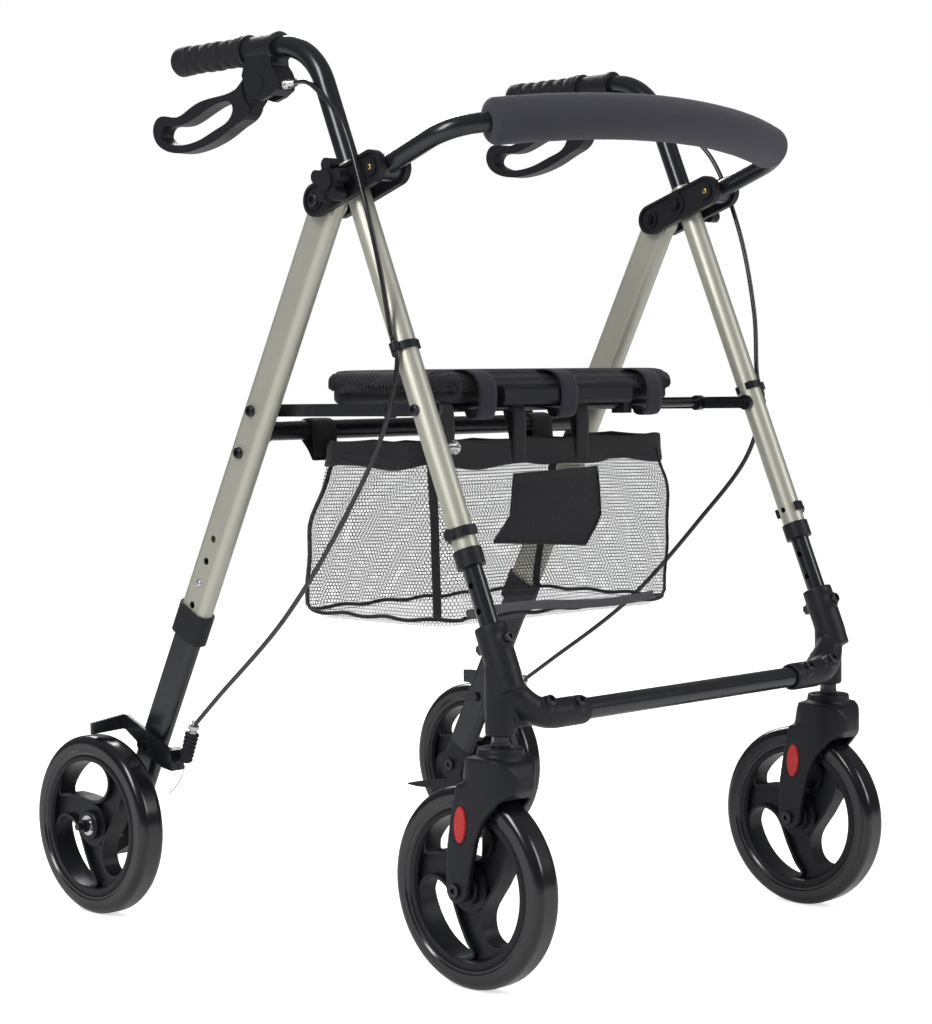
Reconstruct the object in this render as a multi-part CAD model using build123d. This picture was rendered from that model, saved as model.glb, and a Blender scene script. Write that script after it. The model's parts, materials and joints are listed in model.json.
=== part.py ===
from build123d import *
import os
from math import atan2, cos, pi, radians, sin, sqrt, tan

# Rollator walker, in millimetres. x = 0 is the plane of symmetry, the user walks
# towards -Y, the floor is z = 0 and the origin is the centre of the footprint.
# The user's right is -X, so right-hand pieces have negative x; most are modelled
# there and mirrored. A pair of numbers that places something in side view is (y, z).

# ---------------------------------------------------------------- main dimensions
LEG_X = -260.0                       # plane of the right-hand legs
FRONT_SLOPE = 0.42                   # dy/dz of the front leg axis
FRONT_Y0, FRONT_Z0 = -243.0, 487.1   # a point on the front leg axis
REAR_SLOPE = 0.522                   # -dy/dz of the rear leg axis
FOLD_PIVOT = (-75.9, 776.0)
BACKREST_PIN = (-158.2, 804.1)
CLAMP_Z = 792.0                      # handle clamp bolt, on the front leg axis
LEG_PIN_Z = 443.0                    # height-lock pin on the front leg
BUTTON_Z = 375.6                     # height-lock button on the rear leg
HOLE_PITCH_REAR, HOLE_PITCH_FRONT = 27.5, 26.5

LEG_OD, LEG_ID = 25.0, 22.16         # front leg tube
INNER_OD, INNER_ID = 20.0, 17.0      # front telescopic tube
OVAL_W, OVAL_T = 42.0, 20.0          # rear leg oval tube
OVAL_WALL = 1.6
SLIDE_GAP = 0.2                      # rear telescope clearance per side
SLIDER_W = OVAL_W - 2 * OVAL_WALL - 2 * SLIDE_GAP
SLIDER_T = OVAL_T - 2 * OVAL_WALL - 2 * SLIDE_GAP

WHEEL_R = 100.0
AXLE_R = 4.0
FRONT_WHEEL_X, REAR_WHEEL_X = -262.0, -302.7
FRONT_AXLE = (-276.9, WHEEL_R)
REAR_AXLE = (276.9, WHEEL_R)
STEM_Y = -312.4                      # caster stem axis (35.5 mm of trail)
STEM_R = 6.0

SEAT_PIVOT = (41.2, 562.4)           # seat bar pivot on the rear leg
MID_PIVOT = (-143.7, 563.3)          # middle pivot of the seat linkage
LINK_PIVOT = (-210.8, 563.7)         # link pivot on the front leg
CROSS_BOLT = (62.1, 517.9)           # cross tube bolt on the rear leg
BRAKE_PIVOT = (229.6, 191.0)
LEVER_PIVOT = (22.0, 902.5)
HANDLE_Z = 939.0
HANDLE_OD, HANDLE_ID = 22.0, 18.6

BOLT_R, BOLT_HOLE_R = 3.0, 3.1       # small bolts and their clearance holes
BIG_BOLT_R, BIG_HOLE_R = 4.0, 4.1    # fold and clamp bolts, height-lock button
PIN_R = 3.5                          # backrest pin
RUN_GAP = 0.05                       # radial running clearance on shafts
SEAT_GAP = 0.05                      # gap under a bolt head or nut
THROUGH = (-310.0, -230.0)           # x range of a cut through all at the right leg

ALONG_X, ALONG_Y, ALONG_Z = Vector(1, 0, 0), Vector(0, 1, 0), Vector(0, 0, 1)
FRONT_UP = Vector(0, FRONT_SLOPE, 1).normalized()       # up the front leg
FRONT_NORMAL = Vector(0, -FRONT_UP.Z, FRONT_UP.Y)       # forward, square to it
REAR_DOWN = Vector(0, REAR_SLOPE, -1).normalized()      # down the rear leg


# ---------------------------------------------------------------- shape helpers
def front_point(z):
    """Point on the right front leg axis."""
    return Vector(LEG_X, FRONT_Y0 + FRONT_SLOPE * (z - FRONT_Z0), z)


def rear_point(z):
    """Point on the right rear leg axis."""
    return Vector(LEG_X, FOLD_PIVOT[0] + REAR_SLOPE * (FOLD_PIVOT[1] - z), z)


def side_view(point):
    return (point.Y, point.Z)


def plane_at(origin, direction):
    x_dir = ALONG_Y if abs(direction.normalized().X) > 0.9 else ALONG_X
    return Plane(origin=origin, x_dir=x_dir, z_dir=direction)


def rod(start, direction, radius, length):
    base = (Align.CENTER, Align.CENTER, Align.MIN)
    return plane_at(start, direction) * Cylinder(radius, length, align=base)


def tube(start, direction, outer_r, inner_r, length):
    bore_start = start - direction.normalized()
    outside = rod(start, direction, outer_r, length)
    return outside - rod(bore_start, direction, inner_r, length + 2)


def hexagon(start, direction, radius, length):
    return extrude(plane_at(start, direction) * RegularPolygon(radius, 6), amount=length)


def x_rod(point, radius, x1, x2):
    """Cylinder along X through a (y, z) point."""
    return rod((min(x1, x2), *point), ALONG_X, radius, abs(x2 - x1))


def x_hexagon(point, radius, x, length):
    return hexagon((x, *point), ALONG_X, radius, length)


def bore(point, radius):
    """Cutter along X through everything at the right leg."""
    return x_rod(point, radius, *THROUGH)


def side_plane(x):
    return Plane(origin=(x, 0, 0), x_dir=(0, 1, 0), z_dir=(1, 0, 0))


def side_extrude(face, x1, x2):
    return extrude(side_plane(min(x1, x2)) * face, amount=abs(x2 - x1))


def plate(points, x1, x2):
    """Polygon of (y, z) points, between two x values."""
    return side_extrude(make_face(Polyline(*points, close=True)), x1, x2)


def smooth_plate(points, x1, x2):
    """Closed smooth outline through (y, z) points, between two x values."""
    return side_extrude(make_face(Spline(*points, periodic=True)), x1, x2)


def slot(start, end, radius, x1, x2):
    """Round-ended bar between two (y, z) centres."""
    dy, dz = end[0] - start[0], end[1] - start[1]
    length = sqrt(dy * dy + dz * dz)
    middle = (min(x1, x2), (start[0] + end[0]) / 2, (start[1] + end[1]) / 2)
    plane = Plane(origin=middle, x_dir=(0, dy / length, dz / length), z_dir=(1, 0, 0))
    return extrude(plane * SlotCenterToCenter(length, 2 * radius), amount=abs(x2 - x1))


def oval_bar(start, width, thickness, length):
    """Round-edged bar down the rear leg, with its thickness along X."""
    section = SlotOverall(width, thickness, rotation=90)
    return extrude(plane_at(start, REAR_DOWN) * section, amount=length)


def pipe(path, start, direction, radius):
    return sweep(Plane(origin=start, z_dir=direction) * Circle(radius), path=path)


def flip(shape):
    return mirror(shape, about=Plane.YZ)


nodes = {}


def put(name, *shapes):
    for shape in shapes:
        nodes.setdefault(name, []).extend(shape.solids())


def both(name, piece):
    """One node with the right-hand piece and its mirror image."""
    put(name, piece, flip(piece))


def pair(name, piece):
    """A node for the right-hand piece and one for its mirror image."""
    put(name + "_right", piece)
    put(name + "_left", flip(piece))


# ---------------------------------------------------------------- upper front legs
CLAMP_POINT = front_point(CLAMP_Z)
CLAMP = side_view(CLAMP_POINT)
LEG_PIN_POINT = front_point(LEG_PIN_Z)
LEG_PIN = side_view(LEG_PIN_POINT)
LEG_BOTTOM_Z, LEG_TOP_Z = 414.0, 811.0
OUTER_PLATE = (-281.0, -273.0)       # hinge plates: recessed face, plain face
INNER_PLATE = (-239.0, -247.0)
RECESS_DEPTH = 2.2
LEG_FIT, SLIDER_FIT = 0.03, 0.08     # radial clearances of the collar


def front_tube(z_low, z_high, outer_d, inner_d):
    length = (front_point(z_high) - front_point(z_low)).length
    return tube(front_point(z_low), FRONT_UP, outer_d / 2, inner_d / 2, length)


def front_leg():
    leg = front_tube(LEG_BOTTOM_Z, LEG_TOP_Z, LEG_OD, LEG_ID)
    leg -= bore(CLAMP, BIG_HOLE_R)
    leg -= bore(LEG_PIN, BOLT_HOLE_R)
    leg -= bore(LINK_PIVOT, BOLT_HOLE_R)
    return leg


def hinge_plate(x_recessed, x_plain):
    inward = 1 if x_plain > x_recessed else -1
    body = slot(FOLD_PIVOT, BACKREST_PIN, 17.0, x_recessed, x_plain)
    x_floor = x_recessed + RECESS_DEPTH * inward
    body -= slot(FOLD_PIVOT, BACKREST_PIN, 13.6, x_recessed, x_floor)
    for point, boss_r in ((FOLD_PIVOT, 10.0), (BACKREST_PIN, 9.0), (CLAMP, 12.0)):
        body += x_rod(point, boss_r, x_recessed, x_plain)
    for point, hole_r in ((FOLD_PIVOT, BIG_BOLT_R), (BACKREST_PIN, PIN_R), (CLAMP, BIG_BOLT_R)):
        body -= bore(point, hole_r + RUN_GAP)
    return body


def front_collar():
    """Collar under the leg tube, with a bush up inside it."""
    leg_bottom = front_point(LEG_BOTTOM_Z)
    collar = rod(front_point(411.5), FRONT_UP, 14.5, 17.5)
    collar -= rod(leg_bottom, FRONT_UP, LEG_OD / 2 + LEG_FIT, 30)
    collar -= rod(front_point(405.0), FRONT_UP, INNER_OD / 2 + SLIDER_FIT, 60)
    bush_r = LEG_ID / 2 - LEG_FIT
    collar += tube(leg_bottom - FRONT_UP * 0.5, FRONT_UP, bush_r, INNER_OD / 2 + SLIDER_FIT, 24)
    return collar


def bolt(point, radius, x_head, x_nut, head_r):
    """Bolt along X: domed head outboard, hexagonal nut inboard."""
    head_h, nut_h, tip_h = 4.2, 4.5, 1.5
    shank = x_rod(point, radius, x_head, x_nut)
    head = x_rod(point, head_r, x_head - head_h, x_head)
    head = fillet(head.faces().sort_by(Axis.X)[0].edges(), head_h * 0.45)
    socket_x = x_head - head_h - 1
    head -= x_rod(point, head_r * 0.42, socket_x, socket_x + 3.0)
    nut = x_hexagon(point, head_r * 0.95, x_nut, nut_h)
    tip = x_rod(point, radius, x_nut, x_nut + nut_h + tip_h)
    return shank + head + nut + tip


def clamp_bolt():
    x_nut = INNER_PLATE[0] + SEAT_GAP
    shank = x_rod(CLAMP, BIG_BOLT_R, -248.8, x_nut)
    return shank + x_hexagon(CLAMP, 7.5, x_nut, 5)


def cable_clip(z):
    """Right-hand snap-on clip with an eye outboard for the cable."""
    leg_r, eye_r, height = LEG_OD / 2 + LEG_FIT, 3.4, 8
    centre = front_point(z)
    body = tube(centre - FRONT_UP * height / 2, FRONT_UP, 15.0, leg_r, height)
    eye = centre + Vector(-17.2, 0, 0) + FRONT_NORMAL * 3.0
    body += tube(eye - FRONT_UP * height / 2, FRONT_UP, 5.2, eye_r, height)
    body -= rod(eye - FRONT_UP * 5, FRONT_UP, eye_r, 10)
    body -= rod(centre - FRONT_UP * 6, FRONT_UP, leg_r, 12)
    # open mouth on the inboard side, clear of the front link
    body -= Pos(-238.3, centre.Y, centre.Z) * Box(20, 60, 60)
    return body


both("front_legs", front_leg())
both("hinge_plates", hinge_plate(*OUTER_PLATE))
both("hinge_plates", hinge_plate(*INNER_PLATE))
both("front_leg_collars", front_collar())
both("frame_bolts",
     bolt(FOLD_PIVOT, BIG_BOLT_R, OUTER_PLATE[0] - SEAT_GAP, INNER_PLATE[0] + SEAT_GAP, 7.0))
both("frame_bolts", clamp_bolt())
both("frame_bolts", bolt(LINK_PIVOT, BOLT_R, -272.55, -242.9, 5.8))
put("cable_clips", cable_clip(624.8), flip(cable_clip(579.6)))

# ---------------------------------------------------------------- front lower frame
SLIDER_BOTTOM_Z = 308.0
SOCKET_Z = (306.0, 356.0)            # leg socket of the casting
CASTING_BOLT = front_point(339.5)
BOLT_BOSS = 18.6                     # height of its bosses from the leg axis
FRONT_CROSS = (-332.0, 268.5)
FRONT_CROSS_R, CROSS_WALL = 10.75, 1.5
ARM_NORMAL = Vector(0, -0.78, 0.626).normalized()   # forward and up, square to the arm
ARM_BOSS_H = 17.0
ARM_BOSSES = [
    Vector(-226.0, FRONT_CROSS[0] + 0.6, FRONT_CROSS[1] + 4.5),
    Vector(-184.0, *FRONT_CROSS),
]


def front_slider():
    slider = front_tube(SLIDER_BOTTOM_Z, 487.0, INNER_OD, INNER_ID)
    for step in (-3, -2, -1, 0, 1):
        hole = LEG_PIN_POINT + FRONT_UP * (HOLE_PITCH_FRONT * step)
        slider -= bore(side_view(hole), BOLT_HOLE_R)
    slider -= rod(CASTING_BOLT - FRONT_NORMAL * 30, FRONT_NORMAL, BOLT_HOLE_R, 60)
    return slider


def front_casting():
    """Joins the leg, the caster stem and the front cross tube."""
    stem_x, housing_r, housing_top = FRONT_WHEEL_X, 14.9, 313.0
    low, high = (front_point(z) for z in SOCKET_Z)
    body = rod(low, FRONT_UP, 16.3, (high - low).length)
    body += rod(low - FRONT_UP * 14, FRONT_UP, 15.6, 16)
    body += rod((stem_x, STEM_Y, 251.0), ALONG_Z, housing_r, housing_top - 251.0)
    body += Pos(stem_x, STEM_Y, housing_top) * Sphere(housing_r)
    # arm curving from the cross tube up to the leg socket
    arm = TangentArc((-207.0, *FRONT_CROSS), (-259.0, STEM_Y - 0.5, 311.0), tangent=(-1, 0, 0))
    body += pipe(arm, arm @ 0, arm % 0, 14.3)
    body += rod((-209.0, *FRONT_CROSS), ALONG_X, 14.6, 42)
    body += rod((-169.5, *FRONT_CROSS), ALONG_X, 13.4, 4)
    # web between the stem housing and the arm: (x from the plane's origin, -z)
    web = [(-6, -258), (44, -258), (38, -276), (6, -306), (-6, -306)]
    web_plane = Plane(origin=(-250.0, FRONT_CROSS[0] + 8, 0), x_dir=(1, 0, 0), z_dir=(0, 1, 0))
    body += extrude(web_plane * make_face(Polyline(*web, close=True)), amount=9)
    for seat in ARM_BOSSES:
        body += rod(seat, ARM_NORMAL, 8.0, ARM_BOSS_H)
    body += rod(CASTING_BOLT, FRONT_NORMAL, 8.6, BOLT_BOSS)
    body += rod(CASTING_BOLT - FRONT_NORMAL * BOLT_BOSS, FRONT_NORMAL, 8.0, BOLT_BOSS)
    # bores for the leg, cross tube, stem and bolts
    leg_seat = front_point(SLIDER_BOTTOM_Z) - FRONT_UP * 0.05
    body -= rod(leg_seat, FRONT_UP, INNER_OD / 2 + 0.04, 80)
    body -= rod((-214.0, *FRONT_CROSS), ALONG_X, FRONT_CROSS_R + 0.05, 60)
    body -= rod((stem_x, STEM_Y, 240.0), ALONG_Z, STEM_R + RUN_GAP, 60)
    body -= rod(CASTING_BOLT - FRONT_NORMAL * 30, FRONT_NORMAL, BOLT_HOLE_R, 60)
    for seat in ARM_BOSSES:
        body -= arm_bolt_hole(seat)
    return body


def arm_bolt_hole(seat):
    return rod(seat + ARM_NORMAL * 5, ARM_NORMAL, BOLT_HOLE_R, 30)


def cap_bolt(seat, normal, shank_length):
    """Socket-head bolt seated at a point, its head standing along the normal."""
    head_h = 4.0
    shank = rod(seat - normal * shank_length, normal, BOLT_R, shank_length)
    head = rod(seat + normal * 0.02, normal, 5.6, head_h)
    circles = head.edges().filter_by(GeomType.CIRCLE)
    top = circles.sort_by(lambda edge: (edge.center() - seat).dot(normal))[-1]
    head = fillet(top, head_h * 0.4)
    head += rod(seat - normal * 0.5, normal, BOLT_R, 1)
    head -= hexagon(seat + normal * (head_h - 2.2), normal, 2.9, 4)
    return shank + head


def casting_leg_bolt():
    reach = FRONT_NORMAL * (BOLT_BOSS + SEAT_GAP)
    screw = cap_bolt(CASTING_BOLT + reach, FRONT_NORMAL, 37.3)
    return screw + hexagon(CASTING_BOLT - reach, -FRONT_NORMAL, 5.6, 4.5)


def front_cross_tube():
    body = rod((-213.9, *FRONT_CROSS), ALONG_X, FRONT_CROSS_R, 427.8)
    body -= rod((-215, *FRONT_CROSS), ALONG_X, FRONT_CROSS_R - CROSS_WALL, 430)
    for seat in ARM_BOSSES:
        hole = arm_bolt_hole(seat)
        body -= hole
        body -= flip(hole)
    return body


def leg_pin():
    """U-shaped clip round the front leg, with a stub pin in its hole."""
    height, outer_r = 10, 15.8
    plane = Plane(origin=LEG_PIN_POINT - FRONT_UP * height / 2, x_dir=(-1, 0, 0), z_dir=FRONT_UP)

    def slab(sketch):
        return extrude(plane * sketch, amount=height)

    clip = slab(Circle(outer_r)) - slab(Circle(12.6))
    clip = clip & slab(Pos(10.2, 0) * Rectangle(20.4, 40))
    for side in (1, -1):
        clip += slab(Pos(-3, side * 14.2) * Rectangle(6.2, 3.2))
    clip += x_rod(LEG_PIN, 3.0, -274.5, -271.3)
    clip += x_rod(LEG_PIN, 6.0, -279.5, -274.5)
    return clip


both("front_inner_tubes", front_slider())
both("front_castings", front_casting())
both("casting_bolts", casting_leg_bolt())
for boss in ARM_BOSSES:
    both("casting_bolts", cap_bolt(boss + ARM_NORMAL * (ARM_BOSS_H + SEAT_GAP), ARM_NORMAL, 11.0))
put("front_cross_tube", front_cross_tube())
pair("leg_pin", leg_pin())

# ---------------------------------------------------------------- casters
FORK_HALF = 28.5                     # half width over the fork legs
FORK_GAP = 40.0                      # clear width between them
FORK_OUTLINE = [                     # (y, z)
    (-330, 231.5), (-289.5, 231.5), (-283, 216), (-275.5, 196), (-269.5, 170),
    (-264.5, 140), (-262.9, 104), (-263.5, 96), (-268, 89), (-276.9, 86.0),
    (-285.8, 89), (-290.5, 96), (-292, 104), (-296.5, 124), (-303, 150),
    (-313, 171), (-331, 189), (-345, 201), (-346, 214), (-340, 226),
]
REFLECTOR = (-284.2, 165.0)
REFLECTOR_TURN = 4                   # degrees


def reflector_plane(side):
    """Plane on a fork leg's outer face; side is the sign along X."""
    face = side_plane(FRONT_WHEEL_X + side * FORK_HALF)
    return face * Pos(*REFLECTOR) * Rot(0, 0, REFLECTOR_TURN)


def caster_fork():
    x, axle_y = FRONT_WHEEL_X, FRONT_AXLE[0]
    fork = plate(FORK_OUTLINE, x - FORK_HALF, x + FORK_HALF)
    fork = fillet(fork.edges().filter_by(Axis.X), 3.0)
    # wheel space between the legs
    fork -= x_rod(FRONT_AXLE, 106.5, x - FORK_GAP / 2, x + FORK_GAP / 2)
    fork -= Pos(x, axle_y, 60) * Box(FORK_GAP, 400, 90)
    fork -= Pos(x, axle_y + 60, 140) * Box(FORK_GAP, 110, 190)
    # crown rounded about the stem axis
    crown = extrude(Plane.XY * RectangleRounded(2 * FORK_HALF, 72, 26), amount=300)
    crown = Pos(x, STEM_Y + 2, 0) * crown
    leg_zone = Pos(x, -277, 90) * Box(80, 66, 230)
    fork = fork & (crown + leg_zone)
    fork += rod((x, STEM_Y, 231.0), ALONG_Z, 23.0, 9.2)
    fork -= rod((x, STEM_Y, 211.0), ALONG_Z, STEM_R + 0.02, 40)
    fork -= rod((x, STEM_Y, 237.5), ALONG_Z, 9.6, 10)
    fork -= bore(FRONT_AXLE, AXLE_R + 0.03)
    for side in (-1, 1):
        pocket = extrude(Ellipse(8.2, 18.2), amount=2.4, both=True)
        fork -= reflector_plane(side) * pocket
    return fork


def fork_reflector(side):
    body = extrude(reflector_plane(side) * Ellipse(8.0, 18.0), amount=-2.3 * side)
    return body + extrude(reflector_plane(side) * Ellipse(7.0, 17.0), amount=0.7 * side)


def caster_stem():
    stem = rod((FRONT_WHEEL_X, STEM_Y, 211.2), ALONG_Z, STEM_R, 84)
    stem += rod((FRONT_WHEEL_X, STEM_Y, 237.6), ALONG_Z, 9.2, 7.0)
    return stem + hexagon((FRONT_WHEEL_X, STEM_Y, 244.0), ALONG_Z, 8.8, 6.6)


def caster_axle():
    x = FRONT_WHEEL_X
    axle = x_rod(FRONT_AXLE, AXLE_R, x - 28.6, x + 28.6)
    for side in (-1, 1):
        axle += x_rod(FRONT_AXLE, 6.2, x + side * 17.3, x + side * 19.9)
        head = x_rod(FRONT_AXLE, 6.8, x + side * (FORK_HALF + SEAT_GAP), x + side * 32.2)
        head -= x_hexagon(FRONT_AXLE, 3.2, x + side * 29.8, 6 * side)
        axle += head
    return axle


pair("caster_fork", caster_fork())
for side in (-1, 1):
    pair("fork_reflectors", fork_reflector(side))
pair("caster_bolts", caster_stem())
pair("caster_bolts", caster_axle())

# ---------------------------------------------------------------- wheels
WHEEL_W = 32.0
TYRE_IN_R, TYRE_EDGE = 79.0, 9.0     # inner radius, rounding of the tread edge
HUB_R, HUB_HALF = 16.5, 17.0
BEARING_R, BEARING_W = 11.0, 7.0
WEB_HALF, RAISED_HALF = 4.5, 10.5    # half widths of the web, rims of its openings
RIM_PROFILE = [                      # (x, radius)
    (-13.5, TYRE_IN_R), (13.5, TYRE_IN_R), (14.5, 76.5), (14.5, 72.5),
    (11, 70.5), (-11, 70.5), (-14.5, 72.5), (-14.5, 76.5),
]
OPENING_ANGLES = (26.0, 146.0, 266.0)
OPENING = [                          # comma-shaped opening: (radius, degrees)
    (66, 1), (70.5, 10), (72, 26), (72.3, 46), (71.5, 66), (68.5, 82), (61, 93), (50, 98),
    (39, 96), (30.5, 86), (27.5, 68), (29.5, 48), (36.5, 29), (47.5, 14), (59, 4),
]


def radial_plane():
    """Sketch plane (x, z) for profiles turned about the X axis."""
    return Plane(origin=(0, 0, 0), x_dir=(1, 0, 0), z_dir=(0, -1, 0))


def opening_points(angle, grow=0.0):
    """Opening turned by an angle, each point moved out by grow along its normal."""
    raw = [(r * cos(radians(angle + a)), r * sin(radians(angle + a))) for r, a in OPENING]
    points = []
    for i, (y, z) in enumerate(raw):
        before, after = raw[i - 1], raw[(i + 1) % len(raw)]
        dy, dz = after[0] - before[0], after[1] - before[1]
        span = sqrt(dy * dy + dz * dz)
        points.append((y + grow * dz / span, z - grow * dy / span))
    return points


def wheel_rim():
    """Rim about the X axis at the origin."""
    centre = (0, 0)
    rim = revolve(radial_plane() * make_face(Polyline(*RIM_PROFILE, close=True)), Axis.X)
    web = x_rod(centre, 71.5, -WEB_HALF, WEB_HALF)
    hub = x_rod(centre, HUB_R, -HUB_HALF, HUB_HALF)
    hub = chamfer(hub.edges().filter_by(GeomType.CIRCLE), 1.2)
    boss = x_rod(centre, 24.0, -RAISED_HALF, RAISED_HALF)
    for angle in OPENING_ANGLES:
        web += smooth_plate(opening_points(angle, 3.2), -RAISED_HALF, RAISED_HALF)
    rim = rim + (web & x_rod(centre, 74.5, -20, 20)) + hub + boss
    for angle in OPENING_ANGLES:
        rim -= smooth_plate(opening_points(angle), -25, 25)
    rim -= x_rod(centre, 8.6, -30, 30)
    rim -= x_rod(centre, BEARING_R + 0.02, -30, -HUB_HALF + BEARING_W)
    rim -= x_rod(centre, BEARING_R + 0.02, HUB_HALF - BEARING_W, 30)
    return rim


def bearing(side):
    centre = (0, 0)
    body = x_rod(centre, BEARING_R, side * (HUB_HALF - 0.1), side * (HUB_HALF - BEARING_W))
    body -= x_rod(centre, 8.9, side * HUB_HALF, side * (HUB_HALF - 0.7))
    body += x_rod(centre, 6.2, side * (HUB_HALF + 0.05), side * (HUB_HALF - 1.0))
    return body - x_rod(centre, AXLE_R + RUN_GAP, -30, 30)


def wheel_tyre():
    half, edge = WHEEL_W / 2, TYRE_EDGE
    inset = edge * (1 - sqrt(0.5))   # middle of the edge arc, from its corner
    wall = [(half, WHEEL_R - edge), (half, 84.5), (half - 1.5, 83.0), (half - 1.5, 81.0),
            (half - 2.6, TYRE_IN_R + 0.02)]
    other_wall = [(-x, z) for x, z in reversed(wall)]
    with BuildSketch(radial_plane()) as section:
        with BuildLine():
            Polyline((-half + edge, WHEEL_R), (half - edge, WHEEL_R))
            ThreePointArc((half - edge, WHEEL_R), (half - inset, WHEEL_R - inset), wall[0])
            Polyline(*wall, *other_wall)
            ThreePointArc(other_wall[-1], (-half + inset, WHEEL_R - inset),
                          (-half + edge, WHEEL_R))
        make_face()
    return revolve(section.sketch, Axis.X)


tyre = wheel_tyre()
rim_pieces = (wheel_rim(), bearing(-1), bearing(1))
for name, x, axle in (("front", FRONT_WHEEL_X, FRONT_AXLE), ("rear", REAR_WHEEL_X, REAR_AXLE)):
    pair(name + "_tyre", Pos(x, *axle) * tyre)
    for piece in rim_pieces:
        pair(name + "_rim", Pos(x, *axle) * piece)

# ---------------------------------------------------------------- rear frame
BUTTON_POINT = rear_point(BUTTON_Z)
BUTTON = side_view(BUTTON_POINT)
REAR_CROSS, REAR_CROSS_R = (47.0, 540.5), 10.5
TAB_X = (-249.8, -245.8)


def rear_leg():
    top, pivot = rear_point(FOLD_PIVOT[1] + 20.0), rear_point(FOLD_PIVOT[1])
    bore_w, bore_t = OVAL_W - 2 * OVAL_WALL, OVAL_T - 2 * OVAL_WALL
    length = (rear_point(318.5) - top).length
    leg = oval_bar(top, OVAL_W, OVAL_T, length)
    leg -= oval_bar(top - REAR_DOWN, bore_w, bore_t, length + 2)
    # closed round head about the fold pivot
    plug = oval_bar(pivot, bore_w, bore_t, 26) + x_rod(FOLD_PIVOT, 19.4, -268.4, -251.6)
    leg = leg & (oval_bar(pivot, OVAL_W + 2, OVAL_T + 2, 600)
                 + x_rod(FOLD_PIVOT, 21.0, -272, -248))
    leg += plug & (oval_bar(pivot, OVAL_W, OVAL_T, 30) + x_rod(FOLD_PIVOT, 20.9, -270, -250))
    leg -= bore(FOLD_PIVOT, BIG_BOLT_R + RUN_GAP)
    leg -= bore(SEAT_PIVOT, BOLT_R + RUN_GAP)
    leg -= bore(CROSS_BOLT, BOLT_R + RUN_GAP)
    # height holes, in the outboard wall only
    for step in (-2, -1, 1, 0):
        hole = BUTTON_POINT + REAR_DOWN * (HOLE_PITCH_REAR * step)
        leg -= x_rod(side_view(hole), BIG_HOLE_R, -275, LEG_X)
    return leg


def rear_cross_tube():
    tab = slot(REAR_CROSS, CROSS_BOLT, 9.5, *TAB_X) + x_rod(REAR_CROSS, 13.5, *TAB_X)
    cross = x_rod(REAR_CROSS, REAR_CROSS_R, -246.5, 246.5)
    cross += tab + flip(tab)
    cross -= x_rod(REAR_CROSS, REAR_CROSS_R - CROSS_WALL, -260, 260)
    for side in (-1, 1):
        cross -= x_rod(CROSS_BOLT, BOLT_R + RUN_GAP, side * 255, side * 240)
    return cross


def rear_collar():
    top = rear_point(346.0)
    collar = oval_bar(top, 48.0, 26.0, (rear_point(315.5) - top).length)
    collar -= oval_bar(top - REAR_DOWN, OVAL_W + 0.1, OVAL_T + 0.1,
                       (rear_point(318.4) - top).length + 1)
    collar -= oval_bar(top, SLIDER_W + 0.2, SLIDER_T + 0.2, 80)
    return collar


def leg_button():
    button = x_rod(BUTTON, BIG_BOLT_R, -272.4, -268.45)
    return fillet(button.faces().sort_by(Axis.X)[0].edges(), 1.8)


both("rear_legs", rear_leg())
put("rear_cross_tube", rear_cross_tube())
both("rear_collars", rear_collar())
both("rear_frame_bolts", bolt(SEAT_PIVOT, BOLT_R, -270.05, -237.9, 6.2))
both("rear_frame_bolts", bolt(CROSS_BOLT, BOLT_R, -270.05, TAB_X[1] + SEAT_GAP, 6.2))
pair("leg_button", leg_button())

# ---------------------------------------------------------------- rear lower legs
SLIDER_TOP, SLIDER_END = rear_point(455.0), rear_point(126.0)
FOOT_OUTLINE = [                     # bar reaching back below the axle: (y, z)
    (262, 92), (270, 82), (281, 80.5), (292, 79), (300, 77.5), (316, 75.5), (334, 72),
    (357, 67.5), (357.5, 65.5), (340, 64.5), (322, 65), (308, 66), (301, 60), (296, 57),
    (288, 62), (276, 68), (262, 76), (257, 84),
]
BRAKE_ARM_X = (-275.8, -271.6)
BRAKE_ARM_OUTLINE = [                # (y, z)
    (271.5, 220.5), (260, 221.5), (219, 204.5), (181, 188.5), (179.5, 166),
    (195.5, 168), (236, 187), (243, 194), (262, 205.0), (271.5, 205.0),
]
ARM_FLANGE = [(181, 188.5), (179.5, 166), (188, 166.8), (188, 191)]          # (y, z)
SHOE_OUTLINE = [(-272, -221), (-317, -215.5), (-317, -202.9), (-272, -205.0)]  # (x, -z)


def rear_slider():
    length = (SLIDER_END - SLIDER_TOP).length
    slider = oval_bar(SLIDER_TOP, SLIDER_W, SLIDER_T, length)
    slider -= oval_bar(SLIDER_TOP - REAR_DOWN, SLIDER_W - 3.2, SLIDER_T - 3.2, length + 2)
    slot_top, slot_bottom = BUTTON_POINT - REAR_DOWN * 33.0, BUTTON_POINT + REAR_DOWN * 60.0
    slider -= slot(side_view(slot_top), side_view(slot_bottom), 4.3, -269, -265.5)
    slider -= bore(BRAKE_PIVOT, BOLT_HOLE_R)
    return slider


def rear_foot():
    foot = oval_bar(SLIDER_END + REAR_DOWN * 0.02, SLIDER_W, SLIDER_T, 20)
    foot = foot + oval_bar(SLIDER_END - REAR_DOWN * 22, SLIDER_W - 3.4, SLIDER_T - 3.4, 24)
    foot += x_rod(REAR_AXLE, SLIDER_W / 2 - 0.2, LEG_X - SLIDER_T / 2, LEG_X + SLIDER_T / 2)
    foot += plate(FOOT_OUTLINE, -268.2, -251.8)
    foot -= bore(REAR_AXLE, AXLE_R + 0.03)
    return foot


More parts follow.
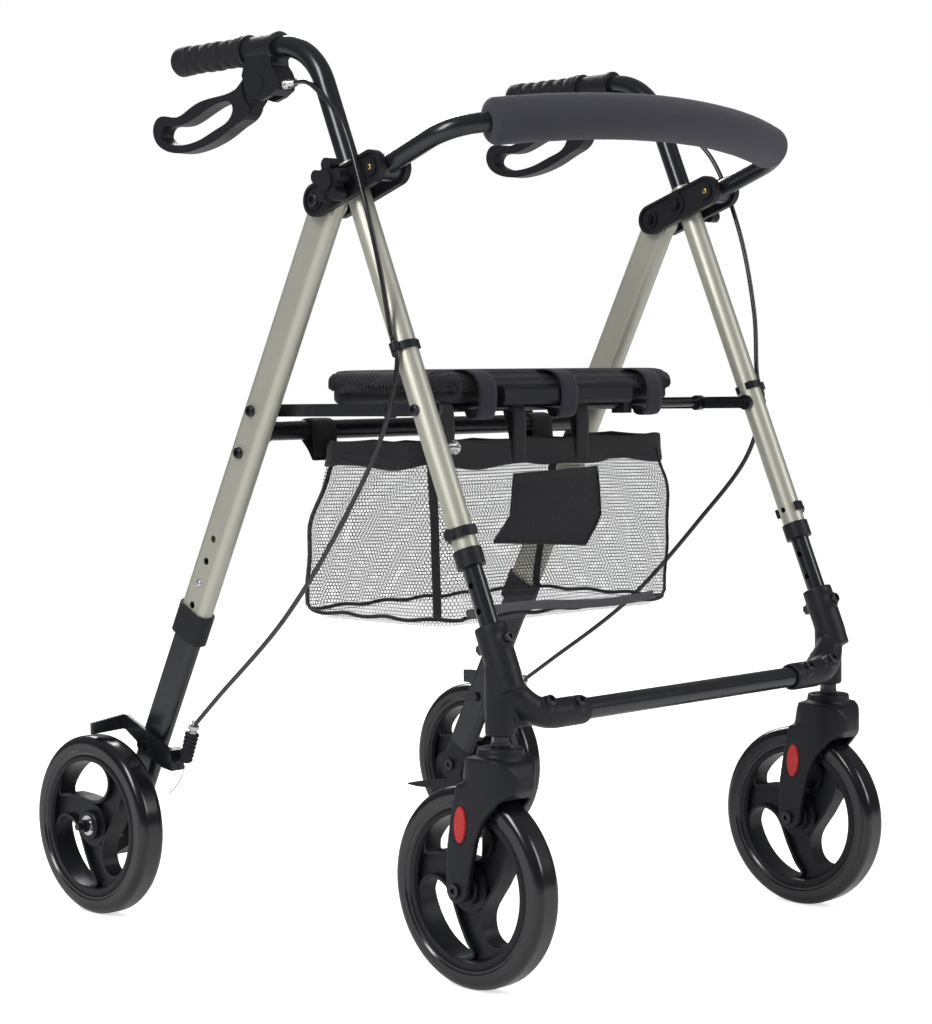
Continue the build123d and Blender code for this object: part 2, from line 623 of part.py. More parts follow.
def rear_axle():
    axle = x_rod(REAR_AXLE, AXLE_R, -334.0, -251.7)
    axle += x_rod(REAR_AXLE, 6.6, -285.5, -268.25)
    head = x_rod(REAR_AXLE, 7.0, -251.75, -247.6)
    head -= x_hexagon(REAR_AXLE, 3.2, -249.6, 5)
    axle += head
    axle += x_hexagon(REAR_AXLE, 7.4, -327.6, 6.4)
    axle += x_rod(REAR_AXLE, 6.4, -320.9, -319.95)
    return axle


def brake_pivot_bolt():
    screw = x_rod(BRAKE_PIVOT, BOLT_R, -276.9, -251.6)
    screw += x_rod(BRAKE_PIVOT, 6.4, -271.3, -268.25)
    head = x_rod(BRAKE_PIVOT, 5.8, -280.5, -276.2)
    head -= x_hexagon(BRAKE_PIVOT, 2.8, -282, 4)
    screw += head
    screw += x_hexagon(BRAKE_PIVOT, 6.0, -251.75, 4)
    return screw


def brake_arm():
    arm = plate(BRAKE_ARM_OUTLINE, *BRAKE_ARM_X)
    shoe_plane = Plane(origin=(0, 267.0, 0), x_dir=(1, 0, 0), z_dir=(0, 1, 0))
    arm += extrude(shoe_plane * make_face(Polyline(*SHOE_OUTLINE, close=True)), amount=4.5)
    arm += x_rod(BRAKE_PIVOT, 8.0, *BRAKE_ARM_X)
    arm += plate(ARM_FLANGE, -271.8, -258)
    arm -= bore(BRAKE_PIVOT, BOLT_R + RUN_GAP)
    return arm


pair("rear_inner_tube", rear_slider())
pair("rear_foot", rear_foot())
pair("rear_bolts", rear_axle())
pair("rear_bolts", brake_pivot_bolt())
pair("brake_arm", brake_arm())

# ---------------------------------------------------------------- seat
SEAT_W = 400.0
SEAT_FRONT, SEAT_REAR = -157.0, 18.0
SEAT_D = SEAT_REAR - SEAT_FRONT
FRAME_W, FRAME_D, FRAME_RAIL = SEAT_W - 8, SEAT_D - 4, 22
FRAME_LO, FRAME_HI = 568.5, 586.0
PAD_LO, PAD_HI = 578.0, 600.5
ROD_R, ROD_HOLE_R = 4.0, 4.05
REAR_ROD = (6.0, MID_PIVOT[1])
LINK_R, LINK_BOSS_R = 6.6, 8.5       # half height of a link, radius of its ends
SEAT_BAR_X = (-242.8, -238.2)
LINK_X = (-247.2, -243.1)
RAIL_OUTLINE = [(-168, 570), (-164, 566), (-152, 566), (-152, 586), (-164, 586), (-168, 582)]


def link_bar(start, end, x1, x2):
    ends = x_rod(start, LINK_BOSS_R, x1, x2), x_rod(end, LINK_BOSS_R, x1, x2)
    return slot(start, end, LINK_R, x1, x2) + ends[0] + ends[1]


def seat_side_bar():
    bar = link_bar(SEAT_PIVOT, MID_PIVOT, *SEAT_BAR_X)
    bar += x_rod(SEAT_PIVOT, 6.0, -249.7, -242.5)
    bar -= bore(SEAT_PIVOT, BOLT_R + RUN_GAP)
    bar -= bore(MID_PIVOT, ROD_HOLE_R)
    bar -= bore(REAR_ROD, ROD_HOLE_R)
    return bar


def seat_rod(point):
    """Cross rod with a shoulder inboard of each side bar."""
    body = x_rod(point, ROD_R, -242.7, 242.7)
    for side in (-1, 1):
        body += x_rod(point, 5.6, side * 238.1, side * 235.5)
    return body


def seat_slab(z, height, width, depth, corner_r):
    plane = Plane(origin=(0, (SEAT_FRONT + SEAT_REAR) / 2, z))
    return extrude(plane * RectangleRounded(width, depth, corner_r), amount=height)


def edges_at(shape, *heights):
    return shape.edges().filter_by(
        lambda edge: any(abs(edge.center().Z - height) < 0.1 for height in heights))


def seat_frame():
    frame = seat_slab(FRAME_LO, FRAME_HI - FRAME_LO, FRAME_W, FRAME_D, 38)
    frame = fillet(edges_at(frame, FRAME_LO, FRAME_HI), 6.0)
    frame -= seat_slab(FRAME_LO - 1, 30, FRAME_W - 2 * FRAME_RAIL, FRAME_D - 2 * FRAME_RAIL, 18)
    # lugs on the two seat rods
    for x in (-110.0, 110.0):
        frame += Pos(x, MID_PIVOT[0], 566.0) * Box(13, 18, 24)
        frame += Pos(x, REAR_ROD[0], 566.0) * Box(13, 16, 24)
        for point in (MID_PIVOT, REAR_ROD):
            frame -= x_rod(point, ROD_HOLE_R, x - 20, x + 20)
    # chamfered front rail between the lugs
    frame += plate(RAIL_OUTLINE, -101.0, 101.0)
    return frame


def seat_pad():
    """Pad with a pocket below for the frame and a notch for its front rail."""
    pad = seat_slab(PAD_LO, PAD_HI - PAD_LO, SEAT_W + 14, SEAT_D + 12, 48)
    pad = fillet(edges_at(pad, PAD_HI), 7.0)
    pad -= seat_slab(PAD_LO - 1, FRAME_HI - PAD_LO + 1.4, SEAT_W - 6, SEAT_D - 2, 39)
    pad -= Pos(0, -170, 580) * Box(240, 40, 14)
    return pad


def front_link():
    link = link_bar(LINK_PIVOT, MID_PIVOT, *LINK_X)
    link -= bore(LINK_PIVOT, BOLT_R + RUN_GAP)
    link -= x_rod(MID_PIVOT, 3.0, -247.3, -245.0)    # blind, from outboard
    return link


both("seat_side_bars", seat_side_bar())
put("seat_rods", seat_rod(MID_PIVOT), seat_rod(REAR_ROD))
put("seat_frame", seat_frame())
put("seat_pad", seat_pad())
both("front_links", front_link())

# ---------------------------------------------------------------- handles
BEND_R = 72.0
BEND_TANGENT = BEND_R * 0.66445      # bend's corner to each end of its arc
GRIP_Y = 48.5
SLOT_X = (-266.8, -253.2)            # lever slot in the housing
LEVER_HUB_X = (-266.5, -253.5)
HOUSING_OUTLINE = [                  # (y, z)
    (0, 940), (38, 940), (41, 925), (45, 913), (40, 897), (29, 888), (16, 884.5),
    (2, 888), (-10, 894), (-13, 903), (-8, 913), (-2, 920),
]
SLOT_OUTLINE = [(20, 923), (70, 923), (70, 870), (0, 870), (0, 890), (10, 905)]
LOOP_OUTER = [                       # lever loop, outside: (y, z)
    (40, 916), (63, 899.5), (99, 895), (133, 888.5), (160, 879.5), (178, 882),
    (194, 880), (200.5, 870), (197, 857), (183, 846.5), (165, 841.5), (146, 840.5),
    (116, 844), (80, 854.5), (60, 863), (34, 884),
]
LOOP_INNER = [                       # lever loop, inside: (y, z)
    (74, 889.5), (104, 884.5), (124, 877.5), (150, 870.5), (170, 871), (183, 869),
    (187, 861), (178, 854), (160, 849.5), (140, 849.3), (116, 853.5), (90, 862),
    (70, 871), (65, 882),
]
LEVER_NECK = [(24, 918), (44, 915), (64, 899.6), (64, 862), (46, 868), (26, 886)]
LEVER_ZONE = [(-20, 920), (-20, 830), (240, 830), (240, 905), (60, 905), (44, 921)]


def handle_tube():
    """Tube up inside the front leg, then bent back to the grip."""
    bottom, corner = front_point(690.0), front_point(HANDLE_Z)
    bend_start = corner - FRONT_UP * BEND_TANGENT
    bend_end = corner + Vector(0, BEND_TANGENT, 0)
    bend_centre = bend_end - Vector(0, 0, BEND_R)
    bend_middle = bend_centre + (corner - bend_centre).normalized() * BEND_R
    path = Wire([
        Edge.make_line(bottom, bend_start),
        Edge.make_three_point_arc(bend_start, bend_middle, bend_end),
        Edge.make_line(bend_end, Vector(LEG_X, 157.0, HANDLE_Z)),
    ])
    body = pipe(path, bottom, FRONT_UP, HANDLE_OD / 2)
    body -= pipe(path, bottom, FRONT_UP, HANDLE_ID / 2)
    # holes in the rear wall, by distance up the leg from the clamp
    for distance in (55.0, 27.0, -36.0, -63.0):
        body -= rod(CLAMP_POINT + FRONT_UP * distance, -FRONT_NORMAL, 3.0, 30)
    return body


def handle_rod(y, radius, length):
    """Cylinder about the handle axis, from y backwards."""
    return rod((LEG_X, y, HANDLE_Z), ALONG_Y, radius, length)


def handle_grip():
    grip = handle_rod(GRIP_Y, 15.2, 113.5)
    grip = fillet(grip.faces().sort_by(Axis.Y)[-1].edges(), 4.0)
    for groove in range(5):
        start = Vector(LEG_X, 68 + 17 * groove, HANDLE_Z)
        grip -= tube(start, ALONG_Y, 17, 14.3, 3.2)
    grip += handle_rod(GRIP_Y, 17.2, 4.5)
    grip -= handle_rod(40, HANDLE_OD / 2 + 0.02, 117.1)
    return grip


def brake_housing():
    housing = handle_rod(-4, 14.4, 52)
    housing += handle_rod(43.5, 17.2, 4.6)
    housing += handle_rod(-4.0, 16.2, 4.5)
    housing += plate(HOUSING_OUTLINE, -272.5, -247.5)
    housing -= handle_rod(-20, HANDLE_OD / 2 + 0.03, 90)
    housing -= x_rod(LEVER_PIVOT, 21.0, *SLOT_X)
    housing -= plate(SLOT_OUTLINE, *SLOT_X)
    housing += x_rod(LEVER_PIVOT, 4.0, -270, -250)
    housing += x_rod(LEVER_PIVOT, 11.0, -273.4, -271.5)
    # cable stub at the front
    housing += rod((LEG_X, -10.0, 899.5), Vector(0, -1, 0.06), 4.2, 16)
    return housing


def brake_lever():
    loop = smooth_plate(LOOP_OUTER, -269, -251)
    loop -= smooth_plate(LOOP_INNER, -270, -250)
    loop -= x_rod(LEVER_PIVOT, 27, -275, -245)
    hub = slot(LEVER_PIVOT, (52, 889), 12.5, *LEVER_HUB_X) + plate(LEVER_NECK, *LEVER_HUB_X)
    hub = hub & x_rod(LEVER_PIVOT, 46, -270, -250)
    lever = loop + hub
    lever -= bore(LEVER_PIVOT, 4.0 + RUN_GAP)
    return lever & plate(LEVER_ZONE, -280, -240)


def star_knob():
    star = Circle(13.5)
    for lobe in range(5):
        angle = radians(90 + 72 * lobe)
        star += Pos(16.2 * cos(angle), 16.2 * sin(angle)) * Circle(6.8)
    knob = extrude(side_plane(-300.0) * Pos(*CLAMP) * star, amount=13)
    for radius, x1, x2 in ((10.5, -303.0, -283.0), (8.0, -284.0, -281.1),
                           (BIG_BOLT_R, -282.0, -271.2)):
        knob += x_rod(CLAMP, radius, x1, x2)
    return knob


pair("handle_tube", handle_tube())
pair("handle_grip", handle_grip())
pair("brake_housing", brake_housing())
pair("brake_lever", brake_lever())
pair("star_knob", star_knob())

# ---------------------------------------------------------------- backrest
BACKREST_TILT = radians(20.0)        # rise of the backrest plane above horizontal
SWEEP_R, CORNER_R = 618.9, 45.0      # middle arc, corner arcs
SIDE_X = 261.0                       # straight ends, each side of centre
APEX = 155.0                         # reach of the bar in front of its pins
BACKREST_R = 10.0


def backrest_point(x, reach):
    """Point in the tilted plane, reach in front of the pins."""
    y, z = BACKREST_PIN
    return Vector(x, y - reach * cos(BACKREST_TILT), z + reach * sin(BACKREST_TILT))


BACKREST_START = backrest_point(-SIDE_X, 6)


def backrest_path():
    sweep_centre = APEX - SWEEP_R
    corner_x = SIDE_X - CORNER_R
    corner_reach = sweep_centre + sqrt((SWEEP_R - CORNER_R) ** 2 - corner_x ** 2)
    # where a corner arc meets the middle arc
    ratio = SWEEP_R / (SWEEP_R - CORNER_R)
    join_x, join_reach = corner_x * ratio, sweep_centre + (corner_reach - sweep_centre) * ratio
    middle = (pi + atan2(join_reach - corner_reach, -(join_x - corner_x))) / 2
    middle_x = corner_x - CORNER_R * cos(middle)
    middle_reach = corner_reach + CORNER_R * sin(middle)
    half = [(SIDE_X, corner_reach), (middle_x, middle_reach), (join_x, join_reach)]
    right = [backrest_point(-x, reach) for x, reach in half]
    left = [backrest_point(x, reach) for x, reach in reversed(half)]
    return Wire([
        Edge.make_line(BACKREST_START, right[0]),
        Edge.make_three_point_arc(*right),
        Edge.make_three_point_arc(right[2], backrest_point(0, APEX), left[0]),
        Edge.make_three_point_arc(*left),
        Edge.make_line(left[2], backrest_point(SIDE_X, 6)),
    ])


def backrest_bar(radius):
    forward = backrest_point(0, 1) - backrest_point(0, 0)
    return pipe(backrest_path(), BACKREST_START, forward, radius)


def backrest_tube():
    bar = backrest_bar(BACKREST_R)
    for side in (-1, 1):
        bar += x_rod(BACKREST_PIN, 13.5, side * 272.7, side * 247.3)
        bar -= x_rod(BACKREST_PIN, PIN_R + RUN_GAP, side * 280, side * 240)
    return bar


def backrest_foam():
    foam = backrest_bar(23.2)
    foam = foam & (Pos(0, -260, 850) * Box(444, 300, 300))
    return foam - backrest_bar(BACKREST_R + 0.1)


def backrest_pin():
    pin = x_rod(BACKREST_PIN, PIN_R, -282.6, -237.6)
    return fillet(pin.edges().filter_by(GeomType.CIRCLE), 1.6)


put("backrest_tube", backrest_tube())
put("backrest_foam", backrest_foam())
pair("backrest_pin", backrest_pin())

# ---------------------------------------------------------------- brake cables
CABLE_R, CABLE_BEND_R = 2.5, 80.0
RIGHT_CABLE = [                      # corners (x, y, z), from lever to brake
    (-262, -28.5, 900.0), (-275, -45, 893), (-280, -80, 880), (-288, -126, 852),
    (-291.5, -162, 770), (-286, -178, 700), (-277.2, -184.45, 634.3),
    (-277.2, -191.4, 617.7), (-284, -178.0, 545), (-280, -110, 448), (-272, -10, 345),
    (-263, 112, 252), (-262, 158, 214),
]
LEFT_CABLE = [
    (262, -28.5, 900.0), (275, -45, 893), (280, -80, 880), (288, -126, 852),
    (292, -165, 765), (286, -192, 665), (277.2, -203.43, 589.06),
    (277.2, -210.4, 572.5), (283, -185.0, 505), (278, -112, 423), (271, -8, 325),
    (264, 112, 245), (262, 158, 214),
]


def rounded_path(corners, radius):
    """Straight runs joined by arcs, tighter where the runs are short."""
    edges, here = [], corners[0]
    for before, corner, after in zip(corners, corners[1:], corners[2:]):
        back, ahead = before - corner, after - corner
        back_dir, ahead_dir = back.normalized(), ahead.normalized()
        half = atan2((back_dir - ahead_dir).length, (back_dir + ahead_dir).length)
        trim = min(radius / tan(half), 0.45 * back.length, 0.45 * ahead.length)
        arc_r = trim * tan(half)
        middle = corner + (back_dir + ahead_dir).normalized() * (arc_r / sin(half) - arc_r)
        arc_start, arc_end = corner + back_dir * trim, corner + ahead_dir * trim
        edges.append(Edge.make_line(here, arc_start))
        edges.append(Edge.make_three_point_arc(arc_start, middle, arc_end))
        here = arc_end
    edges.append(Edge.make_line(here, corners[-1]))
    return Wire(edges)


def brake_cable(table):
    corners = [Vector(*corner) for corner in table]
    path = rounded_path(corners, CABLE_BEND_R)
    return pipe(path, corners[0], corners[1] - corners[0], CABLE_R)


put("brake_cables", brake_cable(RIGHT_CABLE), brake_cable(LEFT_CABLE))

# ---------------------------------------------------------------- basket
BASKET_WALL = 3.0
BASKET_LEVELS = [                    # (z, half width, front y, rear y, corner radius)
    (336, 176, -140, 52, 34),
    (352, 193, -157, 68, 38),
    (430, 196, -158, 58, 38),
    (527, 190, -148, 30, 34),
]


def basket_ring(z, half_width, front, rear, corner_r, inset=0.0):
    section = RectangleRounded(2 * (half_width - inset), rear - front - 2 * inset,
                               corner_r - inset)
    return Plane(origin=(0, (front + rear) / 2, z)) * section


def basket():
    shell = loft([basket_ring(*level) for level in BASKET_LEVELS])
    floor_z, *floor_size = BASKET_LEVELS[0]
    inside = [(floor_z + BASKET_WALL, *floor_size), *BASKET_LEVELS[1:]]
    cavity = loft([basket_ring(*level, inset=BASKET_WALL) for level in inside])
    cavity += extrude(basket_ring(*inside[-1], inset=BASKET_WALL), amount=6)
    return shell - cavity


put("basket", basket())

# ---------------------------------------------------------------- export
os.makedirs("parts", exist_ok=True)
for name, pieces in nodes.items():
    shape = pieces[0] if len(pieces) == 1 else Compound(children=pieces)
    shape.label = name
    export_step(shape, "parts/" + name + ".step")
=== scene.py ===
"""A rollator: a wheeled walker with seat, backrest, basket and hand brakes.

Metres, +Z up, standing on z = 0. The front, with the casters, faces -Y and the
walker's right side is -X. Most places are written in millimetres and go through
point() or MM. Each new piece rides on a body of the CAD frame or replaces a CAD node.
"""
import json
import math
import random

import bmesh
import bpy
import numpy as np
from mathutils import Matrix, Vector

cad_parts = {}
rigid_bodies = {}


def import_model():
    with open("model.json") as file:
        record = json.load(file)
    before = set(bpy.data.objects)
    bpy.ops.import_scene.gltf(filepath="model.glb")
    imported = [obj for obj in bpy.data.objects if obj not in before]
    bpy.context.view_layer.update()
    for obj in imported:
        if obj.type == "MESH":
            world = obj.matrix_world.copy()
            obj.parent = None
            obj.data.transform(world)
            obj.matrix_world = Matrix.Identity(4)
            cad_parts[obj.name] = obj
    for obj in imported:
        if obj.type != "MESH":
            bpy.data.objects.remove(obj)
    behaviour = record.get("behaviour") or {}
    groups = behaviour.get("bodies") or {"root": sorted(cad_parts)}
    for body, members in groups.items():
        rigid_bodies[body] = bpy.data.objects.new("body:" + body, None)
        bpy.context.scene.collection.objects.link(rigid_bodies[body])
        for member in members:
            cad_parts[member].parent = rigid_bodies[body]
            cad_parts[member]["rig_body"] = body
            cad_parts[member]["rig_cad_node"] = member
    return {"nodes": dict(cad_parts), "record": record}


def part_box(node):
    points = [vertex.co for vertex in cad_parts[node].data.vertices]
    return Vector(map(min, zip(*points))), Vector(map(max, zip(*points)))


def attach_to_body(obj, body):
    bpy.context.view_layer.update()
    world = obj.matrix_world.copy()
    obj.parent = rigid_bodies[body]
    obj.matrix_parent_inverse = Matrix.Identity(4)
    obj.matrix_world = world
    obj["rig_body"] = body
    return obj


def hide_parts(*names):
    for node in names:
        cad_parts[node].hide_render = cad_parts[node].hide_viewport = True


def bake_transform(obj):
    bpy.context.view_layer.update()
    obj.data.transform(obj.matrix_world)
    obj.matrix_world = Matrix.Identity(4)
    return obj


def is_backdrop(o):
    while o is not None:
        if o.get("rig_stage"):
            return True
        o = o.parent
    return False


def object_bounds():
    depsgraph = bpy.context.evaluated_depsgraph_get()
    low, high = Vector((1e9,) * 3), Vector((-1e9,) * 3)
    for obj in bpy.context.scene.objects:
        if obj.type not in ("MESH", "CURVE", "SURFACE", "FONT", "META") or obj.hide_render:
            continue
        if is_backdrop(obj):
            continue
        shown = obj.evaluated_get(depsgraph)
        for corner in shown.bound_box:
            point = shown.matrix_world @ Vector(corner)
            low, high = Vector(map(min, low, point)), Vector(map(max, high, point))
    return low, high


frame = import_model()
NODES = frame["nodes"]
MM = 0.001
SIDES = (("right", -1), ("left", 1))  # name, sign of x
scene = bpy.context.scene
random.seed(7)


def plain(value):
    """Nested bounds as dicts, lists and floats that JSON can hold."""
    if isinstance(value, dict):
        return {key: plain(item) for key, item in value.items()}
    try:
        return [plain(item) for item in value]
    except TypeError:  # a number can't be iterated
        return float(value)


sizes = {"cad": plain(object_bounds())}


# ------------------------------------------------------------------ materials
def set_inputs(node, values):
    for key, value in values.items():
        node.inputs[key].default_value = value


def add_node(tree, kind, inputs=None, **settings):
    node = tree.nodes.new(kind)
    for key, value in settings.items():
        setattr(node, key, value)
    set_inputs(node, inputs or {})
    return node


def add_bump(tree, height, strength, distance, normal=None):
    """Bump from a height socket, on top of an earlier normal; returns the new normal."""
    node = add_node(tree, "ShaderNodeBump", {"Strength": strength, "Distance": distance})
    tree.links.new(height, node.inputs["Height"])
    if normal:
        tree.links.new(normal, node.inputs["Normal"])
    return node.outputs["Normal"]


def make_material(name, color, rough, grain, bump, vary=0.12, metallic=0.0, coat=0.0,
                  sheen=0.0, wear=0.0, weave=None, cells=None):
    """Principled material with blotchy colour and gloss and a fine bumpy grain.

    grain, weave: texture scales; bump: strength of the grain; vary: share by which
    the colour drifts; wear: strength of pale specks; cells: (scale, depth) of dimples.
    """
    material = bpy.data.materials.new(name)
    material.use_nodes = True
    tree = material.node_tree
    link = tree.links.new
    shader = tree.nodes["Principled BSDF"]
    set_inputs(shader, {"Metallic": metallic, "Coat Weight": coat, "Coat Roughness": 0.12,
                        "Specular IOR Level": 0.5 if (metallic or coat) else 0.24})
    if sheen:
        set_inputs(shader, {"Sheen Weight": sheen, "Sheen Roughness": 0.45})

    place = tree.nodes.new("ShaderNodeTexCoord").outputs["Object"]
    blotches = add_node(tree, "ShaderNodeTexNoise", {"Scale": 14.0, "Detail": 5.0})
    fine = add_node(tree, "ShaderNodeTexNoise", {"Scale": grain, "Detail": 3.0})
    link(place, blotches.inputs["Vector"])
    link(place, fine.inputs["Vector"])

    # colour Mix sockets: 6 is A, 7 is B, output 2 is the result
    drift = add_node(tree, "ShaderNodeMix", {
        6: [c * (1 - vary) for c in color] + [1],
        7: [min(1, c * (1 + vary) + 0.002) for c in color] + [1]}, data_type="RGBA")
    link(blotches.outputs["Fac"], drift.inputs[0])
    tint = drift.outputs[2]
    if wear:
        specks = add_node(tree, "ShaderNodeMix", {
            7: [min(1, c * 1.8 + 0.05) for c in color] + [1]}, data_type="RGBA")
        ramp = tree.nodes.new("ShaderNodeValToRGB")
        dark, pale = ramp.color_ramp.elements
        dark.position = 0.55
        pale.position = 0.8
        pale.color = (wear, wear, wear, 1)
        link(fine.outputs["Fac"], ramp.inputs["Fac"])
        link(ramp.outputs["Color"], specks.inputs[0])
        link(tint, specks.inputs[6])
        tint = specks.outputs[2]
    link(tint, shader.inputs["Base Color"])

    gloss = add_node(tree, "ShaderNodeMapRange", {"To Min": max(0.02, rough - 0.07),
                                                  "To Max": min(1.0, rough + 0.07)})
    link(blotches.outputs["Fac"], gloss.inputs["Value"])
    link(gloss.outputs["Result"], shader.inputs["Roughness"])

    normal = add_bump(tree, fine.outputs["Fac"], strength=bump, distance=0.0004)
    if weave:
        waves = [add_node(tree, "ShaderNodeTexWave", {"Scale": weave, "Distortion": 0.6},
                          bands_direction=direction) for direction in ("X", "DIAGONAL")]
        threads = add_node(tree, "ShaderNodeMath", operation="MULTIPLY")
        for i, wave in enumerate(waves):
            link(place, wave.inputs["Vector"])
            link(wave.outputs["Fac"], threads.inputs[i])
        normal = add_bump(tree, threads.outputs[0], strength=0.7, distance=0.0006,
                          normal=normal)
    if cells:
        scale, depth = cells
        dimples = add_node(tree, "ShaderNodeTexVoronoi", {"Scale": scale, "Randomness": 0.25})
        link(place, dimples.inputs["Vector"])
        normal = add_bump(tree, dimples.outputs["Distance"], strength=0.9, distance=depth,
                          normal=normal)
    link(normal, shader.inputs["Normal"])
    return material


LOOKS = {
    "leg_paint": dict(color=(0.477, 0.472, 0.407), rough=0.46, metallic=0.62, coat=0.08,
                      grain=2600, bump=0.05, vary=0.03, wear=0.25),
    "black_metal": dict(color=(0.009, 0.010, 0.014), rough=0.27, metallic=0.2, coat=0.25,
                        grain=1800, bump=0.06),
    "black_plastic": dict(color=(0.011, 0.0115, 0.015), rough=0.44, grain=1500, bump=0.35,
                          vary=0.15),
    "bolt_steel": dict(color=(0.05, 0.05, 0.058), rough=0.32, metallic=0.9, grain=1200,
                       bump=0.1),
    "button_silver": dict(color=(0.66, 0.66, 0.68), rough=0.22, metallic=1.0, grain=900,
                          bump=0.05),
    "pin_brass": dict(color=(0.66, 0.40, 0.17), rough=0.24, metallic=1.0, grain=900,
                      bump=0.06),
    "grip_rubber": dict(color=(0.012, 0.012, 0.015), rough=0.58, grain=2200, bump=0.8,
                        vary=0.2),
    "foam": dict(color=(0.036, 0.035, 0.050), rough=0.72, grain=2200, bump=0.8, vary=0.1,
                 sheen=0.15),
    "tyre": dict(color=(0.005, 0.005, 0.007), rough=0.20, coat=0.15, grain=700, bump=0.05,
                 vary=0.2),
    "rim": dict(color=(0.008, 0.0085, 0.011), rough=0.36, grain=1500, bump=0.2),
    "reflector": dict(color=(0.42, 0.010, 0.010), rough=0.30, coat=0.1, grain=700, bump=1.0,
                      vary=0.3, cells=(420.0, 0.0009)),
    "cable_sheath": dict(color=(0.008, 0.008, 0.010), rough=0.28, coat=0.3, grain=1200,
                         bump=0.08),
    "mesh_fabric": dict(color=(0.010, 0.010, 0.013), rough=0.62, grain=3000, bump=0.7,
                        vary=0.2, sheen=0.12, cells=(520.0, 0.0008)),
    "seat_fabric": dict(color=(0.014, 0.0145, 0.020), rough=0.62, grain=2600, bump=1.0,
                        vary=0.25, weave=420, sheen=0.15),
    "webbing": dict(color=(0.009, 0.009, 0.012), rough=0.62, grain=2600, bump=0.6,
                    weave=520, vary=0.2, sheen=0.15),
    "velcro": dict(color=(0.022, 0.021, 0.032), rough=0.85, grain=3200, bump=1.0,
                   vary=0.35, sheen=0.12),
    "strap_grey": dict(color=(0.085, 0.085, 0.095), rough=0.7, grain=2200, bump=0.8,
                       weave=480, vary=0.2, sheen=0.2),
    "wire_steel": dict(color=(0.62, 0.62, 0.64), rough=0.26, metallic=1.0, grain=1200,
                       bump=0.1),
}
MATS = {name: make_material(name, **look) for name, look in LOOKS.items()}


def paint_cad():
    for part in frame["record"]["subparts"]:
        mesh = NODES[part["node"]].data
        mesh.materials.clear()
        mesh.materials.append(MATS[part["material_slot"]])
        for face in mesh.polygons:
            face.material_index = 0


def paint_bearings():
    """The steel bearing races share a node with each rim: the faces nearest the axle."""
    face_reach, vertex_reach = 0.01095, 0.01105
    for side, _ in SIDES:
        for node in (f"front_rim_{side}", f"rear_rim_{side}"):
            mesh = NODES[node].data
            low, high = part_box(node)
            axle_y, axle_z = [(low[i] + high[i]) / 2 for i in (1, 2)]

            def reach(place):
                return math.hypot(place.y - axle_y, place.z - axle_z)

            mesh.materials.append(MATS["wire_steel"])
            for face in mesh.polygons:
                corners = [mesh.vertices[v].co for v in face.vertices]
                if reach(face.center) < face_reach and max(map(reach, corners)) < vertex_reach:
                    face.material_index = 1


# ------------------------------------------------------------------ mesh helpers
def point(x, y, z):
    """A place given in millimetres."""
    return Vector((x * MM, y * MM, z * MM))


def shade_smooth(mesh, smooth=True):
    for face in mesh.polygons:
        face.use_smooth = smooth


def build(name, verts, faces, material, smooth=True):
    mesh = bpy.data.meshes.new(name)
    mesh.from_pydata([tuple(v) for v in verts], [], [tuple(f) for f in faces])
    mesh.validate()
    bm = bmesh.new()
    bm.from_mesh(mesh)
    bmesh.ops.recalc_face_normals(bm, faces=bm.faces)
    bm.to_mesh(mesh)
    bm.free()
    shade_smooth(mesh, smooth)
    mesh.materials.append(MATS[material])
    made = bpy.data.objects.new(name, mesh)
    scene.collection.objects.link(made)
    return made


def attach(piece, body, replaces=None):
    if replaces:
        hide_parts(replaces)
    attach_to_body(piece, body)


def positions(mesh):
    return np.array([v.co for v in mesh.vertices], float)


def vertex_normals(mesh):
    return np.array([v.normal for v in mesh.vertices], float)


def set_positions(mesh, co):
    mesh.vertices.foreach_set("co", co.astype(np.float32).ravel())


def copy_node(node, name):
    """A free copy of a CAD node, standing at the origin."""
    made = NODES[node].copy()
    made.data = made.data.copy()
    made.name = name
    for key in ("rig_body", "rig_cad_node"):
        if key in made:
            del made[key]
    made.parent = None
    made.matrix_world = Matrix.Identity(4)
    scene.collection.objects.link(made)
    bpy.context.view_layer.update()
    return made


def add_remesh(piece, voxel):
    remesh = piece.modifiers.new("remesh", "REMESH")
    remesh.mode = "VOXEL"
    remesh.voxel_size = voxel


def apply_modifiers(piece, *names):
    with bpy.context.temp_override(object=piece, active_object=piece,
                                   selected_objects=[piece]):
        for name in names:
            bpy.ops.object.modifier_apply(modifier=name)


def smooth_path(points, step=0.006):
    """Centripetal Catmull-Rom curve through the points, sampled about every step."""
    p = [Vector(q) for q in points]
    p = [p[0] * 2 - p[1]] + p + [p[-1] * 2 - p[-2]]
    path = []
    for i in range(1, len(p) - 2):
        a, b, c, d = p[i - 1:i + 3]
        t0 = 0.0
        t1 = t0 + max((b - a).length, 1e-6) ** 0.5
        t2 = t1 + max((c - b).length, 1e-6) ** 0.5
        t3 = t2 + max((d - c).length, 1e-6) ** 0.5
        count = max(2, int((c - b).length / step))
        for k in range(count):
            t = t1 + (t2 - t1) * k / count
            a1 = a * ((t1 - t) / (t1 - t0)) + b * ((t - t0) / (t1 - t0))
            a2 = b * ((t2 - t) / (t2 - t1)) + c * ((t - t1) / (t2 - t1))
            a3 = c * ((t3 - t) / (t3 - t2)) + d * ((t - t2) / (t3 - t2))
            b1 = a1 * ((t2 - t) / (t2 - t0)) + a2 * ((t - t0) / (t2 - t0))
            b2 = a2 * ((t3 - t) / (t3 - t1)) + a3 * ((t - t1) / (t3 - t1))
            path.append(b1 * ((t2 - t) / (t2 - t1)) + b2 * ((t - t1) / (t2 - t1)))
    path.append(p[-2])
    return path


def tangent(path, i):
    before, after = path[max(0, i - 1)], path[min(len(path) - 1, i + 1)]
    return (after - before).normalized()


